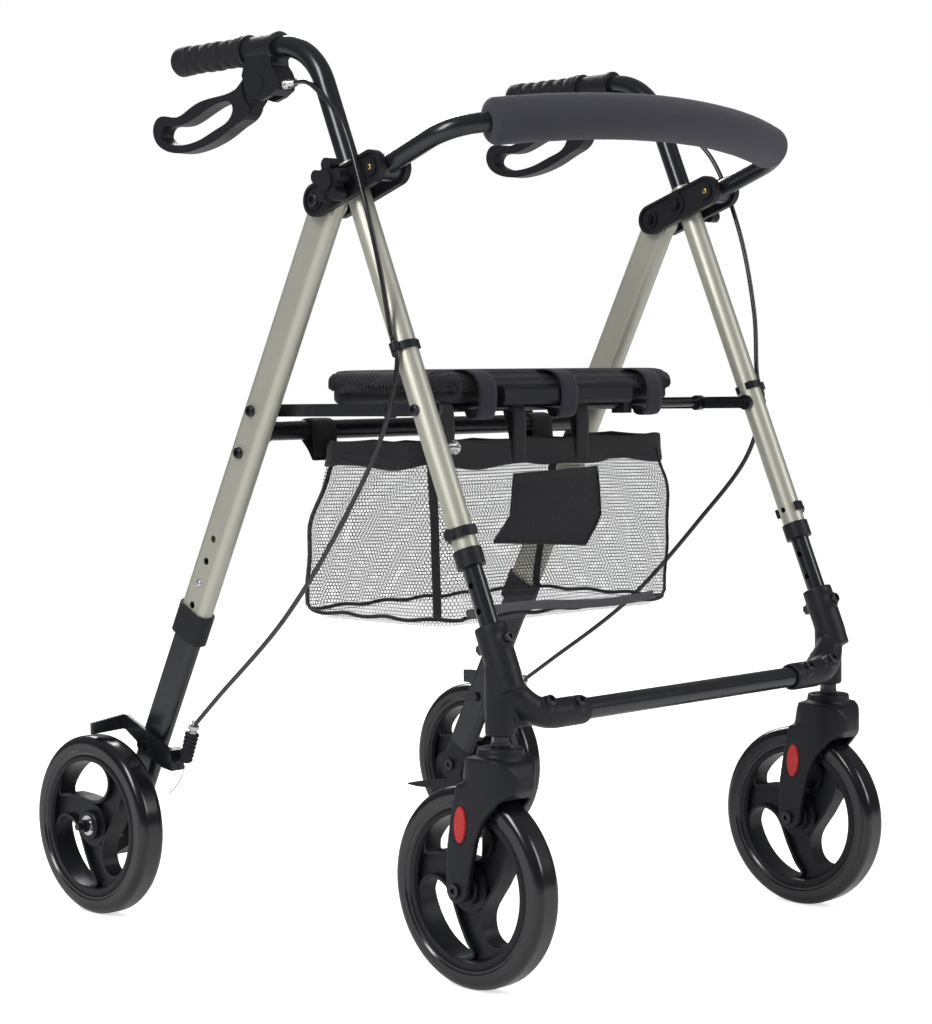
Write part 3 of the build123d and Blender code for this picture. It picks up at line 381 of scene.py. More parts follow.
def cross_axes(path):
    """Two axes square to the path at each point, carried along without twisting."""
    tangents = [tangent(path, i) for i in range(len(path))]
    first = tangents[0]
    u = Vector((1, 0, 0)) if abs(first.x) < 0.8 else Vector((0, 0, 1))
    u = (u - first * u.dot(first)).normalized()
    axes = []
    for t in tangents:
        u = (u - t * u.dot(t)).normalized()
        axes.append((u, t.cross(u)))
    return axes


def circle(centre, u, v, radius, n):
    angles = [2 * math.pi * k / n for k in range(n)]
    return [centre + u * (radius * math.cos(a)) + v * (radius * math.sin(a)) for a in angles]


def ring_faces(rings, n, start_cap=True, end_cap=True, closed=False):
    """Skin over rings of n points each; closed joins the last ring to the first."""
    faces = []
    for i in range(rings if closed else rings - 1):
        a, b = i * n, (i + 1) % rings * n
        for k in range(n):
            j = (k + 1) % n
            faces.append((a + k, a + j, b + j, b + k))
    if start_cap:
        faces.append(tuple(range(n)))
    if end_cap:
        faces.append(tuple(range(rings * n - n, rings * n)))
    return faces


def tube(name, path, radius, material, n=14):
    """radius is a number or a function of the share of the length, 0 to 1."""
    total = sum((path[i + 1] - path[i]).length for i in range(len(path) - 1))
    verts, run = [], 0.0
    for i, (centre, (u, v)) in enumerate(zip(path, cross_axes(path))):
        if i:
            run += (path[i] - path[i - 1]).length
        r = radius(run / total) if callable(radius) else radius
        verts += circle(centre, u, v, r, n)
    return build(name, verts, ring_faces(len(path), n), material)


def lathe(name, origin, axis, profile, material, n=40):
    """profile: (distance along the axis, radius), in millimetres."""
    axis = Vector(axis).normalized()
    u = axis.cross(Vector((0, 0, 1)) if abs(axis.z) < 0.8 else Vector((1, 0, 0))).normalized()
    v = axis.cross(u)
    verts = []
    for along, radius in profile:
        verts += circle(origin + axis * (along * MM), u, v, radius * MM, n)
    faces = ring_faces(len(profile), n, start_cap=profile[0][1] > 0.01,
                       end_cap=profile[-1][1] > 0.01)
    return build(name, verts, faces, material)


def ribbon(name, path, across, width, thick, material, ribs=0.0):
    """A band of cloth along path, its width along across, thinner at both edges.

    ribs is the height added at every second point of the path.
    """
    across = Vector(across).normalized()
    m = 7
    half = [(-1 + 2 * k / (m - 1), 1.0 if 0 < k < m - 1 else 0.35) for k in range(m)]
    verts = []
    for i, centre in enumerate(path):
        t = tangent(path, i)
        w = (across - t * across.dot(t)).normalized()
        normal = t.cross(w)
        h = thick / 2 + (ribs if i % 2 else 0.0)
        section = [(s * width / 2, h * edge) for s, edge in half]
        section += [(s * width / 2, -h * edge) for s, edge in reversed(half)]
        verts += [centre + w * x + normal * y for x, y in section]
    return build(name, verts, ring_faces(len(path), 2 * m), material)


# ------------------------------------------------------------------ seat pad
def inflate(cushion):
    """Swell by a short pressure simulation, with each vertex's move capped."""
    move_cap = 0.006
    last_frame = 20
    rest = positions(cushion.data)
    cloth = cushion.modifiers.new("cloth", "CLOTH")
    cloth.settings.use_pressure = True
    cloth.settings.uniform_pressure_force = 4.0
    cloth.settings.effector_weights.gravity = 0.0
    cloth.settings.quality = 5
    cloth.point_cache.frame_start = 1
    cloth.point_cache.frame_end = last_frame
    for f in range(1, last_frame + 1):
        scene.frame_set(f)
    swollen = cushion.evaluated_get(bpy.context.evaluated_depsgraph_get())
    move = positions(swollen.data) - rest
    size = np.linalg.norm(move, axis=1, keepdims=True)
    move *= np.minimum(1.0, move_cap / np.maximum(size, 1e-9))
    cushion.modifiers.remove(cloth)
    set_positions(cushion.data, rest + move)
    scene.frame_set(1)


def shape_cushion(mesh):
    """Ridges, edge welt and thinned edges, kept close to the CAD pad's box."""
    ridge_height, ridge_pitch = 0.00055, 0.0052
    welt_inset, welt_width, welt_depth = 0.016, 0.0022, 0.0014
    edge_reach, top_drop, under_rise = 0.026, 0.0075, 0.0035
    front_reach, front_drop, top_sink = 0.050, 0.0020, 0.0028
    corner_x, corner_width, corner_depth = 0.12, 0.087, 0.07
    corner_lift_top, corner_lift_under = 0.0030, 0.0015
    spare_x, spare_y, spare_under = 0.004, 0.006, 0.0005

    co, normals = positions(mesh), vertex_normals(mesh)
    x, y, z = co.T  # views: changing them changes co
    low, high = co.min(0), co.max(0)
    cad_low, cad_high = [np.array(v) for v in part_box("seat_pad")]

    # the ridges run from side to side
    ridge = ridge_height * np.cos(2 * np.pi * y / ridge_pitch)
    co += normals * ridge[:, None]

    # the edge welt is a shallow channel round the rim
    inset = np.minimum(np.minimum(x - low[0], high[0] - x), np.minimum(y - low[1], high[1] - y))
    welt = np.exp(-((inset - welt_inset) / welt_width) ** 2) * (normals[:, 2] > 0.3)
    z -= welt_depth * welt

    # the padding thins towards its edges, most of all at the front
    inward = np.clip(inset / edge_reach, 0, 1)
    drop = 1 - np.sqrt(np.clip(1 - (1 - inward) ** 2, 0, 1))
    upper = z > (cad_low[2] + cad_high[2]) / 2
    z[:] = np.where(upper, z - top_drop * drop, z + under_rise * drop)
    front = np.clip((cad_low[1] + front_reach - y) / front_reach, 0, 1)
    z[:] = np.where(upper, z - front_drop * front ** 2 - top_sink, z)

    # the front left corner lifts a little
    corner = (np.clip((x - corner_x) / corner_width, 0, 1)
              * np.clip((cad_low[1] + corner_depth - y) / corner_depth, 0, 1))
    z += np.where(upper, corner_lift_top, corner_lift_under) * corner ** 2

    x[:] = np.clip(x, cad_low[0] - spare_x, cad_high[0] + spare_x)
    y[:] = np.clip(y, cad_low[1] - spare_y, cad_high[1] + spare_y)
    z[:] = np.maximum(z, cad_low[2] - spare_under)
    set_positions(mesh, co)


def seat_cushion():
    cushion = copy_node("seat_pad", "seat_cushion")
    add_remesh(cushion, voxel=0.005)
    apply_modifiers(cushion, "remesh")
    inflate(cushion)
    subdivide = cushion.modifiers.new("sub", "SUBSURF")
    subdivide.levels = subdivide.render_levels = 2
    apply_modifiers(cushion, "sub")
    mesh = cushion.data
    mesh.update()
    shape_cushion(mesh)
    mesh.update()
    shade_smooth(mesh)
    mesh.materials.clear()
    mesh.materials.append(MATS["seat_fabric"])
    attach(cushion, "seat", replaces="seat_pad")


# ------------------------------------------------------------------ backrest foam
# The backrest tube lies in a plane tilted about a pin line across the frame. In that
# plane a wide sweep meets two corner arcs; the foam covers the middle. Millimetres.
PIN_Y, PIN_Z = -158.2, 804.1
APEX = 155.0  # reach of the sweep's middle from the pins
SWEEP_R, CORNER_R = 618.9, 45.0
SIDE_X = 261.0  # centre line of the tube's straight sides
FOAM_END_X = 221.8
FOAM_R, FOAM_LENGTH = 23.4, 460
END_R, END_ROUND = 14.5, 9  # radius at the ends, length of their rounding


def backrest_tilt():
    """Slope from the pins to the apex of the CAD foam."""
    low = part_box("backrest_foam")[0]
    foam = NODES["backrest_foam"].data
    middle = [v.co for v in foam.vertices if abs(v.co.x) < 0.02]
    if not middle:
        middle = [v.co for v in foam.vertices if v.co.y < low.y + 0.02]
    apex_z = (min(c.z for c in middle) + max(c.z for c in middle)) / 2 / MM
    apex_y = (min(c.y for c in middle) + max(c.y for c in middle)) / 2 / MM
    if abs(apex_y - PIN_Y) < 120:
        apex_y = low.y / MM + 23.2
    return math.atan2(apex_z - PIN_Z, PIN_Y - apex_y)


def sweep_half():
    """(x, reach from the pins) from the apex to where the sweep meets the corner arc."""
    centre = APEX - SWEEP_R
    corner_x = SIDE_X - CORNER_R
    corner_reach = centre + math.sqrt((SWEEP_R - CORNER_R) ** 2 - corner_x ** 2)
    ratio = SWEEP_R / (SWEEP_R - CORNER_R)
    last = math.atan2(corner_x * ratio, (corner_reach - centre) * ratio)
    angles = [last * i / 59 for i in range(60)]
    return [(SWEEP_R * math.sin(a), centre + SWEEP_R * math.cos(a)) for a in angles]


def foam_radius(share):
    from_end = min(share, 1 - share) * FOAM_LENGTH
    r = FOAM_R + 0.12 * math.sin(share * 17) + 0.06 * math.sin(share * 43 + 1)
    if from_end < END_ROUND:
        rise = math.sqrt(max(0.0, 1 - (1 - from_end / END_ROUND) ** 2))
        r = END_R + (r - END_R) * rise
    return r * MM


def backrest_sleeve():
    tilt = backrest_tilt()
    half = sweep_half()
    flat = [(-x, reach) for x, reach in reversed(half)] + half[1:]
    path = [point(x, PIN_Y - reach * math.cos(tilt), PIN_Z + reach * math.sin(tilt))
            for x, reach in flat]
    path = [p for p in path if abs(p.x) < FOAM_END_X * MM]
    foam = tube("backrest_sleeve", smooth_path(path, 0.0025), foam_radius, "foam", n=56)
    co, normals = positions(foam.data), vertex_normals(foam.data)
    x, y, z = co.T
    lump = np.sin(x * 190 + z * 160) * np.sin(y * 170 + x * 70) * 0.00008
    set_positions(foam.data, co + normals * lump[:, None])
    attach(foam, "backrest", replaces="backrest_foam")


# ------------------------------------------------------------------ castings
def soft_casting(node, name, body, voxel, passes):
    """A moulded CAD piece with its edges rounded off."""
    piece = copy_node(node, name)
    add_remesh(piece, voxel)
    smooth = piece.modifiers.new("smooth", "SMOOTH")
    smooth.factor = 0.5
    smooth.iterations = passes
    apply_modifiers(piece, "remesh", "smooth")
    mesh = piece.data
    mesh.materials.clear()
    mesh.materials.append(MATS["black_plastic"])
    shade_smooth(mesh)
    for face in mesh.polygons:
        face.material_index = 0
    attach(piece, body, replaces=node)


# ------------------------------------------------------------------ handles
GRIP_X, GRIP_Y = 260, 48.5  # mm, axis and front end of a grip
GRIP_LOW, GRIP_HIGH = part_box("handle_grip_right")
GRIP_Z = (GRIP_LOW.z + GRIP_HIGH.z) / 2 / MM
# (distance back from the front end, radius), mm
GRIP_COLLAR = [(0, 11.2), (0, 15.8), (0.8, 17.2), (3.4, 17.4), (4.6, 16.6), (5.4, 15.0),
               (8, 14.6)]
GRIP_END = [(100, 15.3), (106, 15.9), (110, 15.8), (112.6, 14.2), (113.6, 11.0),
            (114.0, 6.0), (114.0, 0.0)]
# knurled cable adjuster: (distance along, radius), mm
LEVER_ADJUSTER = [(0, 3.2), (1, 5.0), (2.2, 5.2), (2.6, 4.3), (3.4, 5.2), (4.6, 5.2),
                  (5.0, 4.3), (5.8, 5.2), (7.4, 5.2), (8, 3.6), (14, 3.6), (14.6, 3.0),
                  (17, 2.8), (17.2, 0)]


def finger_grooves():
    first, pitch = 20, 17
    grooves = []
    for k in range(5):
        centre = first + pitch * k
        for d in range(-6, 7):
            hollow = 1.25 * math.cos(d / 6 * math.pi / 2) ** 2
            grooves.append((centre + d * 1.15,
                            15.0 - hollow + 0.35 * math.sin((centre + d) * 0.15)))
    return grooves


def handle(side, s):
    profile = GRIP_COLLAR + finger_grooves() + GRIP_END
    grip = lathe(f"grip_{side}", point(s * GRIP_X, GRIP_Y, GRIP_Z), (0, 1, 0), profile,
                 "grip_rubber", n=64)
    # the grooved part is a little fuller on top
    co = positions(grip.data)
    x, y, z = co.T
    angle = np.arctan2(z - GRIP_Z * MM, x - s * GRIP_X * MM)
    outward = np.stack([np.cos(angle), np.zeros_like(angle), np.sin(angle)], 1)
    top = np.clip(np.sin(angle), 0, 1) * ((y > 0.056) & (y < 0.15))
    co += outward * (0.0009 * top)[:, None]
    set_positions(grip.data, co)
    attach(grip, f"handle_{side}", replaces=f"handle_grip_{side}")

    adjuster = lathe(f"lever_adjuster_{side}", point(s * 262, -11, 899.3), (0, -1, 0.05),
                     LEVER_ADJUSTER, "wire_steel", n=28)
    attach(adjuster, f"handle_{side}")


# ------------------------------------------------------------------ brake cables
CABLE_R = 0.00255
# (distance out from the middle, y, z), mm, from the handle down to the rear wheel
CABLE_TOP = [(262, -27, 900.2), (268, -52, 898), (279, -84, 884), (287, -126, 850)]
CABLE_RUN = {
    "right": [(291, -162, 770), (286, -178, 700), (277.2, -184.45, 634.3),
              (277.2, -191.4, 617.7), (284, -178, 545), (281, -110, 448),
              (273, -10, 345), (264, 112, 252)],
    "left": [(291, -165, 765), (286, -192, 665), (277.2, -203.43, 589.06),
             (277.2, -210.4, 572.5), (283, -185, 505), (279, -112, 423),
             (272, -8, 325), (264, 112, 245)],
}
CABLE_END = [(262, 156, 217)]
UPPER_SPLIT, LOWER_SPLIT = 6, 10  # points where the cable is cut into its three lengths


def brake_cable(side, s):
    outline = CABLE_TOP + CABLE_RUN[side] + CABLE_END
    points = [point(s * x, y, z) for x, y, z in outline]
    full = smooth_path(points, 0.004)

    def nearest(target):
        return min(range(len(full)), key=lambda i: (full[i] - target).length)

    upper, lower = nearest(points[UPPER_SPLIT]), nearest(points[LOWER_SPLIT])
    # name, path, the body at each end, and the start and end points
    lengths = (
        ("top", full[:upper + 1], f"handle_{side}", "front_frame",
         point(s * 262, -60, 890), point(s * 277, -187, 650)),
        ("middle", full[upper:lower + 1], "front_frame", "rear_frame",
         point(s * 277, -185, 600), points[LOWER_SPLIT]),
        ("low", full[lower:], "rear_frame", f"rear_lower_{side}",
         points[LOWER_SPLIT], point(s * 262, 150, 222)),
    )
    for name, path, body, next_body, start, end in lengths:
        piece = tube(f"cable_{name}_{side}", path, CABLE_R, "cable_sheath", n=12)
        if name == "top" and side == "right":
            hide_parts("brake_cables")
        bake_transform(piece)


# ------------------------------------------------------------------ rear brake fittings
# hexagonal adjuster: (distance along, radius), mm
BRAKE_ADJUSTER = [(0, 2.9), (0.4, 3.6), (5, 3.6), (5.4, 5.8), (6.2, 6.3), (10.4, 6.3),
                  (11.2, 5.8), (11.6, 4.0), (13.0, 4.0), (13.2, 5.2), (15.6, 5.2),
                  (16, 4.0), (16.2, 0)]


def boot_profile():
    """Seven pleats, each a little slimmer than the one above, in millimetres."""
    length = 36.0
    profile = [(0, 4.0)]
    for k in range(7):
        start, crest = 1 + k * 5.0, 8.0 - 0.12 * k
        profile += [(start, 5.8), (start + 1.4, crest), (start + 3.0, crest),
                    (start + 4.2, 5.9)]
    return profile + [(length, 5.6), (length + 1, 4.0), (length + 1.2, 0)]


def brake_fittings(side, s):
    body = f"rear_lower_{side}"
    top = Vector((s * 0.262, 0.156, 0.2175))
    foot = Vector((s * 0.262, 0.172, 0.176))
    down = (foot - top).normalized()
    adjuster = lathe(f"brake_adjuster_{side}", top - down * 0.006, down, BRAKE_ADJUSTER,
                     "wire_steel", n=6)
    shade_smooth(adjuster.data, False)
    attach(adjuster, body)
    boot = lathe(f"brake_boot_{side}", top + down * 0.008, down, boot_profile(),
                 "grip_rubber", n=30)
    attach(boot, body)
    wire_points = [foot + down * 0.004, foot + Vector((0, 0.003, -0.010)),
                   foot + Vector((0, 0.012, -0.024)), foot + Vector((0, 0.030, -0.040))]
    wire = tube(f"brake_wire_{side}", smooth_path(wire_points, 0.003), 0.0006,
                "wire_steel", n=8)
    attach(wire, body)


# ------------------------------------------------------------------ basket
# Sections of the bag: height, half width, front y, rear y, corner radius, mm
BAG_LEVELS = [(336.0, 176.0, -140.0, 52.0, 34.0), (352.0, 193.0, -157.0, 68.0, 38.0),
              (430.0, 196.0, -158.0, 58.0, 38.0), (527.0, 190.0, -148.0, 30.0, 34.0)]
BAG_CORNERS = [(1, -1, -90), (1, 1, 0), (-1, 1, 90), (-1, -1, 180)]  # signs, first angle
NET_Z = 340.0  # bottom of the side net
NET_PITCH = 4.2
NET_ROW = 0.866  # row spacing as a share of the pitch
NET_INNER = 0.83  # hole of a cell as a share of its size
NET_COLUMNS = int(1100.0 / NET_PITCH)
NET_ROWS = int((506.0 - NET_Z) / (NET_PITCH * NET_ROW))


def bag_section(z):
    """Half width, front y, rear y and corner radius at height z."""
    z = min(max(z, 336.0), 534.0)
    for a, b in zip(BAG_LEVELS, BAG_LEVELS[1:]):
        if z <= b[0] or b is BAG_LEVELS[-1]:
            t = (z - a[0]) / (b[0] - a[0])
            if t < 1:
                t = t * t * (3 - 2 * t) if a[0] > 340 else math.sin(t * math.pi / 2)
            return [a[i] + (b[i] - a[i]) * t for i in range(1, 5)]


def bag_outline(z):
    """Half width, half depth, middle y, corner radius and lengths of sides and corners."""
    half_w, front, rear, r = bag_section(z)
    half_d, mid_y = (rear - front) / 2, (rear + front) / 2
    arc = math.pi * r / 2
    return half_w, half_d, mid_y, r, [2 * (half_w - r), arc, 2 * (half_d - r), arc] * 2


def bag_point(u, z, out=0.0):
    """x, y at share u of the way round from the front right; out pushes it outward."""
    half_w, half_d, mid_y, r, runs = bag_outline(z)
    s = (u % 1.0) * sum(runs)
    # start and direction of the front, left, rear and right sides
    starts = [(-(half_w - r), -half_d, 1, 0), (half_w, -(half_d - r), 0, 1),
              (half_w - r, half_d, -1, 0), (-half_w, half_d - r, 0, -1)]
    for i in range(8):
        if s <= runs[i] or i == 7:
            if i % 2 == 0:
                x0, y0, dx, dy = starts[i // 2]
                x, y = x0 + dx * s, y0 + dy * s
                nx, ny = dy, -dx
            else:
                sign_x, sign_y, first = BAG_CORNERS[i // 2]
                a = math.radians(first + 90 * s / runs[i])
                nx, ny = math.cos(a), math.sin(a)
                x, y = sign_x * (half_w - r) + r * nx, sign_y * (half_d - r) + r * ny
            return x + nx * out, y + mid_y + ny * out
        s -= runs[i]


def wrinkle(u, z):
    """Outward waviness of the cloth, fading out towards the hem and the mouth."""
    a = 2 * math.pi * u
    fade = max(0.0, min(1.0, (z - 345) / 40)) * max(0.0, min(1.0, (520 - z) / 40))
    return fade * (1.8 * math.sin(9 * a + z * 0.02) + 1.2 * math.sin(17 * a - z * 0.05)
                   + 0.9 * math.sin(z * 0.09 + 5 * a)) - 1.0


def net_side(along, height):
    u = along / (NET_COLUMNS * NET_PITCH)
    z = NET_Z + height
    if z > 508:
        return None
    x, y = bag_point(u, z, wrinkle(u, z))
    return (x, y, z)


def net_floor(x, y):
    """A sagging rounded rectangle; None outside it."""
    half_w, half_d, mid_y, r, _ = bag_outline(NET_Z)
    half_w, half_d = half_w - 2, half_d - 2
    qx, qy = abs(x) - (half_w - r), abs(y - mid_y) - (half_d - r)
    if math.hypot(max(qx, 0), max(qy, 0)) + min(max(qx, qy), 0) - r > 0:
        return None
    across, along = 1 - min(1.0, (x / half_w) ** 2), 1 - min(1.0, ((y - mid_y) / half_d) ** 2)
    return (x, y, 338.0 - 4.0 * across * along - 1.5 * math.sin(x * 0.05) ** 2)


def basket_net():
    """Hexagonal net; each cell is a flat ring of six quads sharing its outer corners."""
    verts, faces, index = [], [], {}

    def vertex(place):
        key = tuple(round(c, 2) for c in place)
        if key not in index:
            index[key] = len(verts)
            verts.append([c * MM for c in key])
        return index[key]

    def cell(place_of, column, row):
        cx = column * NET_PITCH + (NET_PITCH / 2 if row % 2 else 0)
        cy = row * NET_PITCH * NET_ROW
        size = NET_PITCH / math.sqrt(3)
        places = []
        for r in (size, size * NET_INNER):
            for k in range(6):
                a = math.radians(60 * k + 30)
                places.append(place_of(cx + r * math.cos(a), cy + r * math.sin(a)))
        if None in places:
            return
        ids = [vertex(place) for place in places]
        for k in range(6):
            j = (k + 1) % 6
            face = (ids[k], ids[j], ids[6 + j], ids[6 + k])
            if len(set(face)) == 4:
                faces.append(face)

    for row in range(NET_ROWS + 1):
        for column in range(NET_COLUMNS):
            cell(net_side, column, row)
    for column in range(-50, 51):
        for row in range(-60, 40):
            cell(net_floor, column, row)
    net = build("basket_net", verts, faces, "mesh_fabric", smooth=False)
    attach(net, "rear_frame", replaces="basket")


def basket_band():
    """Dense band round the mouth, its upper and lower edges dipping in scallops."""
    # (share of the way down, distance out in mm)
    profile = [(0.0, 0.9), (0.12, 1.6), (0.5, 1.3), (0.9, 1.6), (1.0, 0.9), (1.0, -0.6),
               (0.5, -0.9), (0.0, -0.6)]
    count = 240
    verts = []
    for i in range(count):
        u = i / count
        rear = bag_point(u, 528)[1] > 10
        top = 531.5 - (2.5 * abs(math.sin(2 * math.pi * u * 5)) + (5.0 if rear else 0.0))
        dip = (5.0 * abs(math.sin(2 * math.pi * u * 4.0 + 0.6))
               + 1.5 * math.sin(2 * math.pi * u * 11))
        bottom = 505.0 - dip
        for share, out in profile:
            z = top + (bottom - top) * share
            x, y = bag_point(u, z, out + wrinkle(u, z) * 0.5 + 0.6)
            verts.append((x * MM, y * MM, z * MM))
    faces = ring_faces(count, len(profile), start_cap=False, end_cap=False, closed=True)
    attach(build("basket_band", verts, faces, "webbing"), "rear_frame")


def basket_piping():
    """Tape up the four corners and a cord round the bottom edge."""
    runs = bag_outline(430)[-1]
    for k in range(4):
        u = (sum(runs[:2 * k + 1]) + runs[1] / 2) / sum(runs)
        path = [point(*bag_point(u, z, wrinkle(u, z) + 0.6), z) for z in range(346, 520, 6)]
        tape = ribbon(f"basket_corner_{k}", path, across=(path[0].y, -path[0].x, 0),
                      width=0.009, thick=0.0022, material="webbing", ribs=0.0002)
        attach(tape, "rear_frame")
    path = [point(*bag_point(i / 160, 345, 0.4), 345 + 1.2 * math.sin(i * 0.7))
            for i in range(161)]
    attach(tube("basket_hem", path, 0.0021, "webbing", n=10), "rear_frame")


def basket_pocket():
    """Pocket on the bag's front: a thin bulging sheet with piping and a top hem."""
    cols, rows = 50, 29
    verts = []
    for j in range(rows):
        lift = j / (rows - 1)
        left = float(np.interp(lift, [0, 0.08, 0.40, 1.0], [-112, -108, -86, -75]))
        right = float(np.interp(lift, [0, 0.30, 0.40, 1.0], [30, 50, 55, 58]))
        for i in range(cols):
            x = left + (right - left) * i / 49
            bottom, top = 423.0 - 10.0 * i / 49, 489.0 + 4.0 * i / 49
            z = bottom + (top - bottom) * j / 28
            bulge = 2.2 + 3.0 * math.sin(math.pi * i / 49) * lift ** 0.6
            front = bag_section(z)[1]
            verts.append((x * MM, (front - bulge) * MM, z * MM))
    corners = [j * cols + i for j in range(rows - 1) for i in range(cols - 1)]
    faces = [(a, a + 1, a + cols + 1, a + cols) for a in corners]
    pocket = build("basket_pocket", verts, faces, "mesh_fabric")
    pocket.modifiers.new("thick", "SOLIDIFY").thickness = 0.0009
    apply_modifiers(pocket, "thick")
    attach(pocket, "rear_frame")

    # down one side, along the bottom and up the other
    rim = [j * cols for j in range(rows - 1, -1, -1)] + list(range(cols))
    rim += [j * cols + cols - 1 for j in range(1, rows)]
    path = [Vector(verts[i]) + Vector((0, -0.0006, 0)) for i in rim]
    attach(tube("pocket_piping", path, 0.0013, "webbing", n=8), "rear_frame")
    path = [Vector(v) + Vector((0, -0.0004, 0)) for v in verts[-cols:]]
    hem = ribbon("pocket_hem", path, across=(0, 0, 1), width=0.009, thick=0.0016,
                 material="webbing")
    attach(hem, "rear_frame")


def basket_strap():
    """Grey strap across the bag's lower front edge."""
    path = [point(-150 + 296 * t, -157.2 - 1.5 * math.sin(math.pi * t),
                  350 + 3 * math.sin(math.pi * t * 2)) for t in [i / 60 for i in range(61)]]
    strap = ribbon("basket_strap", path, across=(0, 0.15, 1), width=0.0095, thick=0.0014,
                   material="strap_grey", ribs=0.0001)
    attach(strap, "rear_frame")


# ------------------------------------------------------------------ loops and rivet
# (x from the loop's place, y, z), mm, from under the pad round its rail
PAD_LOOP = [(-6, -138, 602.6), (-3, -152, 602.4), (0, -163, 598), (1.5, -169.8, 588),
            (2, -170.6, 572), (1, -168.5, 558), (3, -161, 552.5), (4, -151, 553.5),
            (5, -146.5, 560)]
# (y, z), mm, up the front of the bag, over and down inside
HANGER_LOOP = [(-150.5, 505), (-151.5, 528), (-152.2, 548), (-150.6, 560), (-147.2, 568.4),
               (-142.5, 569.6), (-138.6, 565.5), (-138.4, 558), (-143, 546),
               (-146.5, 528), (-147.0, 507)]


def loops():
    for i, x in enumerate((-131, -6, 133)):
        path = smooth_path([point(x + dx, y, z) for dx, y, z in PAD_LOOP], 0.004)
        loop = ribbon(f"pad_loop_{i}", path, across=(1, 0, 0), width=0.026, thick=0.0018,
                      material="velcro")
        attach(loop, "seat")
    for i, x in enumerate((-170, -63, 36)):
        path = smooth_path([point(x, y, z) for y, z in HANGER_LOOP], 0.0022)
        loop = ribbon(f"hanger_loop_{i}", path, across=(1, 0, 0), width=0.020,
                      thick=0.0016, material="webbing", ribs=0.00035)
        attach(loop, "rear_frame")
    tube_y, tube_z, loop_r = 47.0, 540.5, 12.0
    for side, s in SIDES:
        angles = [math.radians(a) for a in range(190, -60, -25)]
        path = [(33, 512), (34.5, 528)]
        path += [(tube_y + loop_r * math.cos(a), tube_z + loop_r * math.sin(a))
                 for a in angles]
        path += [(44, 520), (36, 508)]
        path = smooth_path([point(s * 172, y, z) for y, z in path], 0.0025)
        loop = ribbon(f"tube_loop_{side}", path, across=(1, 0, 0), width=0.034,
                      thick=0.0018, material="webbing", ribs=0.0003)
        attach(loop, "rear_frame")


def leg_rivet():
    """Domed rivet on the inner side of the right front leg."""
    profile = [(-1, 4.0), (7.5, 4.0), (7.6, 7.2), (9.4, 7.0), (11.2, 6.0), (12.6, 4.2),
               (13.4, 2.0), (13.6, 0)]
    rivet = lathe("leg_rivet_right", point(-248.2, -232.5, 526.5), (1, 0, 0), profile,
                  "wire_steel", n=36)
    attach(rivet, "front_frame")


# ------------------------------------------------------------------ stage, light, camera
def stage_floor():
    """Pale floor that glows to the camera only."""
    half = 30
    mesh = bpy.data.meshes.new("floor")
    mesh.from_pydata([(-half, -half, 0), (half, -half, 0), (half, half, 0), (-half, half, 0)],
                     [], [(0, 1, 2, 3)])
    floor = bpy.data.objects.new("floor", mesh)
    scene.collection.objects.link(floor)
    material = bpy.data.materials.new("floor_pale")
    material.use_nodes = True
    tree = material.node_tree
    shader = tree.nodes["Principled BSDF"]
    set_inputs(shader, {"Base Color": (0.93, 0.93, 0.93, 1), "Roughness": 0.6,
                        "Emission Color": (1, 1, 1, 1)})
    rays = add_node(tree, "ShaderNodeLightPath")
    glow = add_node(tree, "ShaderNodeMath", {1: 0.66}, operation="MULTIPLY")
    tree.links.new(rays.outputs["Is Camera Ray"], glow.inputs[0])
    tree.links.new(glow.outputs[0], shader.inputs["Emission Strength"])
    mesh.materials.append(material)
    floor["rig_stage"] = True


def studio_world():
    """White to the camera; brighter overhead for lighting, dimmed in reflections."""
    world = bpy.data.worlds.new("studio")
    scene.world = world
    world.use_nodes = True
    tree = world.node_tree
    link = tree.links.new
    sky = tree.nodes["Background"]
    sky.inputs["Color"].default_value = (1, 1, 1, 1)
    rays = add_node(tree, "ShaderNodeLightPath")
    coord = add_node(tree, "ShaderNodeTexCoord")
    split = add_node(tree, "ShaderNodeSeparateXYZ")
    grade = add_node(tree, "ShaderNodeMapRange", {"From Min": -0.1, "From Max": 1.0,
                                                  "To Min": 0.20, "To Max": 0.58})
    pick = add_node(tree, "ShaderNodeMix", {3: 1.0})  # input 3: strength seen by the camera
    dim = add_node(tree, "ShaderNodeMath", operation="MULTIPLY")
    shade = add_node(tree, "ShaderNodeMapRange", {"To Min": 1.0, "To Max": 0.45})
    link(coord.outputs["Generated"], split.inputs[0])
    link(split.outputs["Z"], grade.inputs["Value"])
    link(rays.outputs["Is Camera Ray"], pick.inputs[0])
    link(grade.outputs["Result"], pick.inputs[2])
    link(rays.outputs["Is Glossy Ray"], shade.inputs["Value"])
    link(pick.outputs[0], dim.inputs[0])
    link(shade.outputs["Result"], dim.inputs[1])
    link(dim.outputs[0], sky.inputs["Strength"])
    scene.view_settings.view_transform = "Standard"
    scene.view_settings.look = "None"


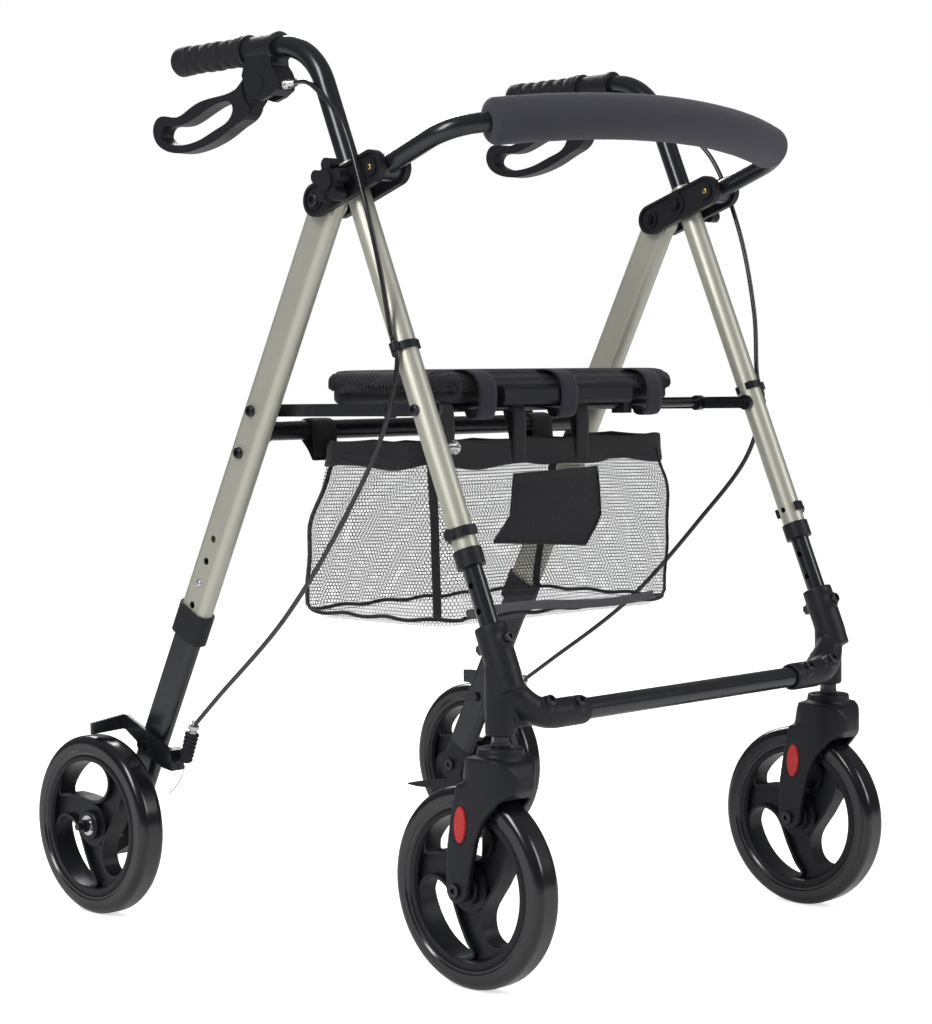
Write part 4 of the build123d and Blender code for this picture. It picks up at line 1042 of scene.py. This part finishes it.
def area_light(name, place, target, size, power):
    light = bpy.data.lights.new(name, "AREA")
    light.shape = "RECTANGLE"
    light.size, light.size_y = size
    light.energy = power
    lamp = bpy.data.objects.new(name, light)
    lamp.location = place
    aim = Vector(target) - Vector(place)
    lamp.rotation_euler = aim.to_track_quat("-Z", "Y").to_euler()
    scene.collection.objects.link(lamp)


def add_camera(place, azimuth, elevation, roll, lens):
    """Angles in degrees; azimuth 0 looks from the front, negative from the right."""
    data = bpy.data.cameras.new("camera")
    data.lens = lens
    data.sensor_width = 36
    camera = bpy.data.objects.new("camera", data)
    scene.collection.objects.link(camera)
    az, el, roll = math.radians(azimuth), math.radians(elevation), math.radians(roll)
    back = Vector((math.sin(az) * math.cos(el), -math.cos(az) * math.cos(el), math.sin(el)))
    level = Vector((math.cos(az), math.sin(az), 0))
    up = level.cross(-back)
    right = level * math.cos(roll) + up * math.sin(roll)
    top = up * math.cos(roll) - level * math.sin(roll)
    turn = Matrix((right, top, back)).transposed().to_4x4()
    camera.matrix_world = Matrix.Translation(place) @ turn
    scene.camera = camera


# ------------------------------------------------------------------ build
paint_cad()
paint_bearings()
seat_cushion()
backrest_sleeve()
soft_casting("front_castings", "leg_castings", "front_lower", voxel=0.0014, passes=14)
for side, _ in SIDES:
    soft_casting(f"caster_fork_{side}", f"fork_{side}", f"caster_{side}", voxel=0.0015,
                 passes=16)
for make_pair in (handle, brake_cable, brake_fittings):
    for side, s in SIDES:
        make_pair(side, s)
basket_net()
basket_band()
basket_piping()
basket_pocket()
basket_strap()
loops()
leg_rivet()

stage_floor()
studio_world()
area_light("key", place=(-2.6, -0.4, 2.4), target=(0, 0, 0.5), size=(0.7, 1.8), power=62)
area_light("fill", place=(1.4, -2.8, 1.7), target=(0, 0, 0.5), size=(0.9, 1.6), power=34)
area_light("back", place=(1.2, 2.4, 2.2), target=(0, 0, 0.6), size=(1.6, 1.0), power=46)
add_camera(place=(-1.932818, -1.937443, 0.594190), azimuth=-45.04433, elevation=3.13325,
           roll=-0.65047, lens=85.83)

sizes["visual"] = plain(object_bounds())
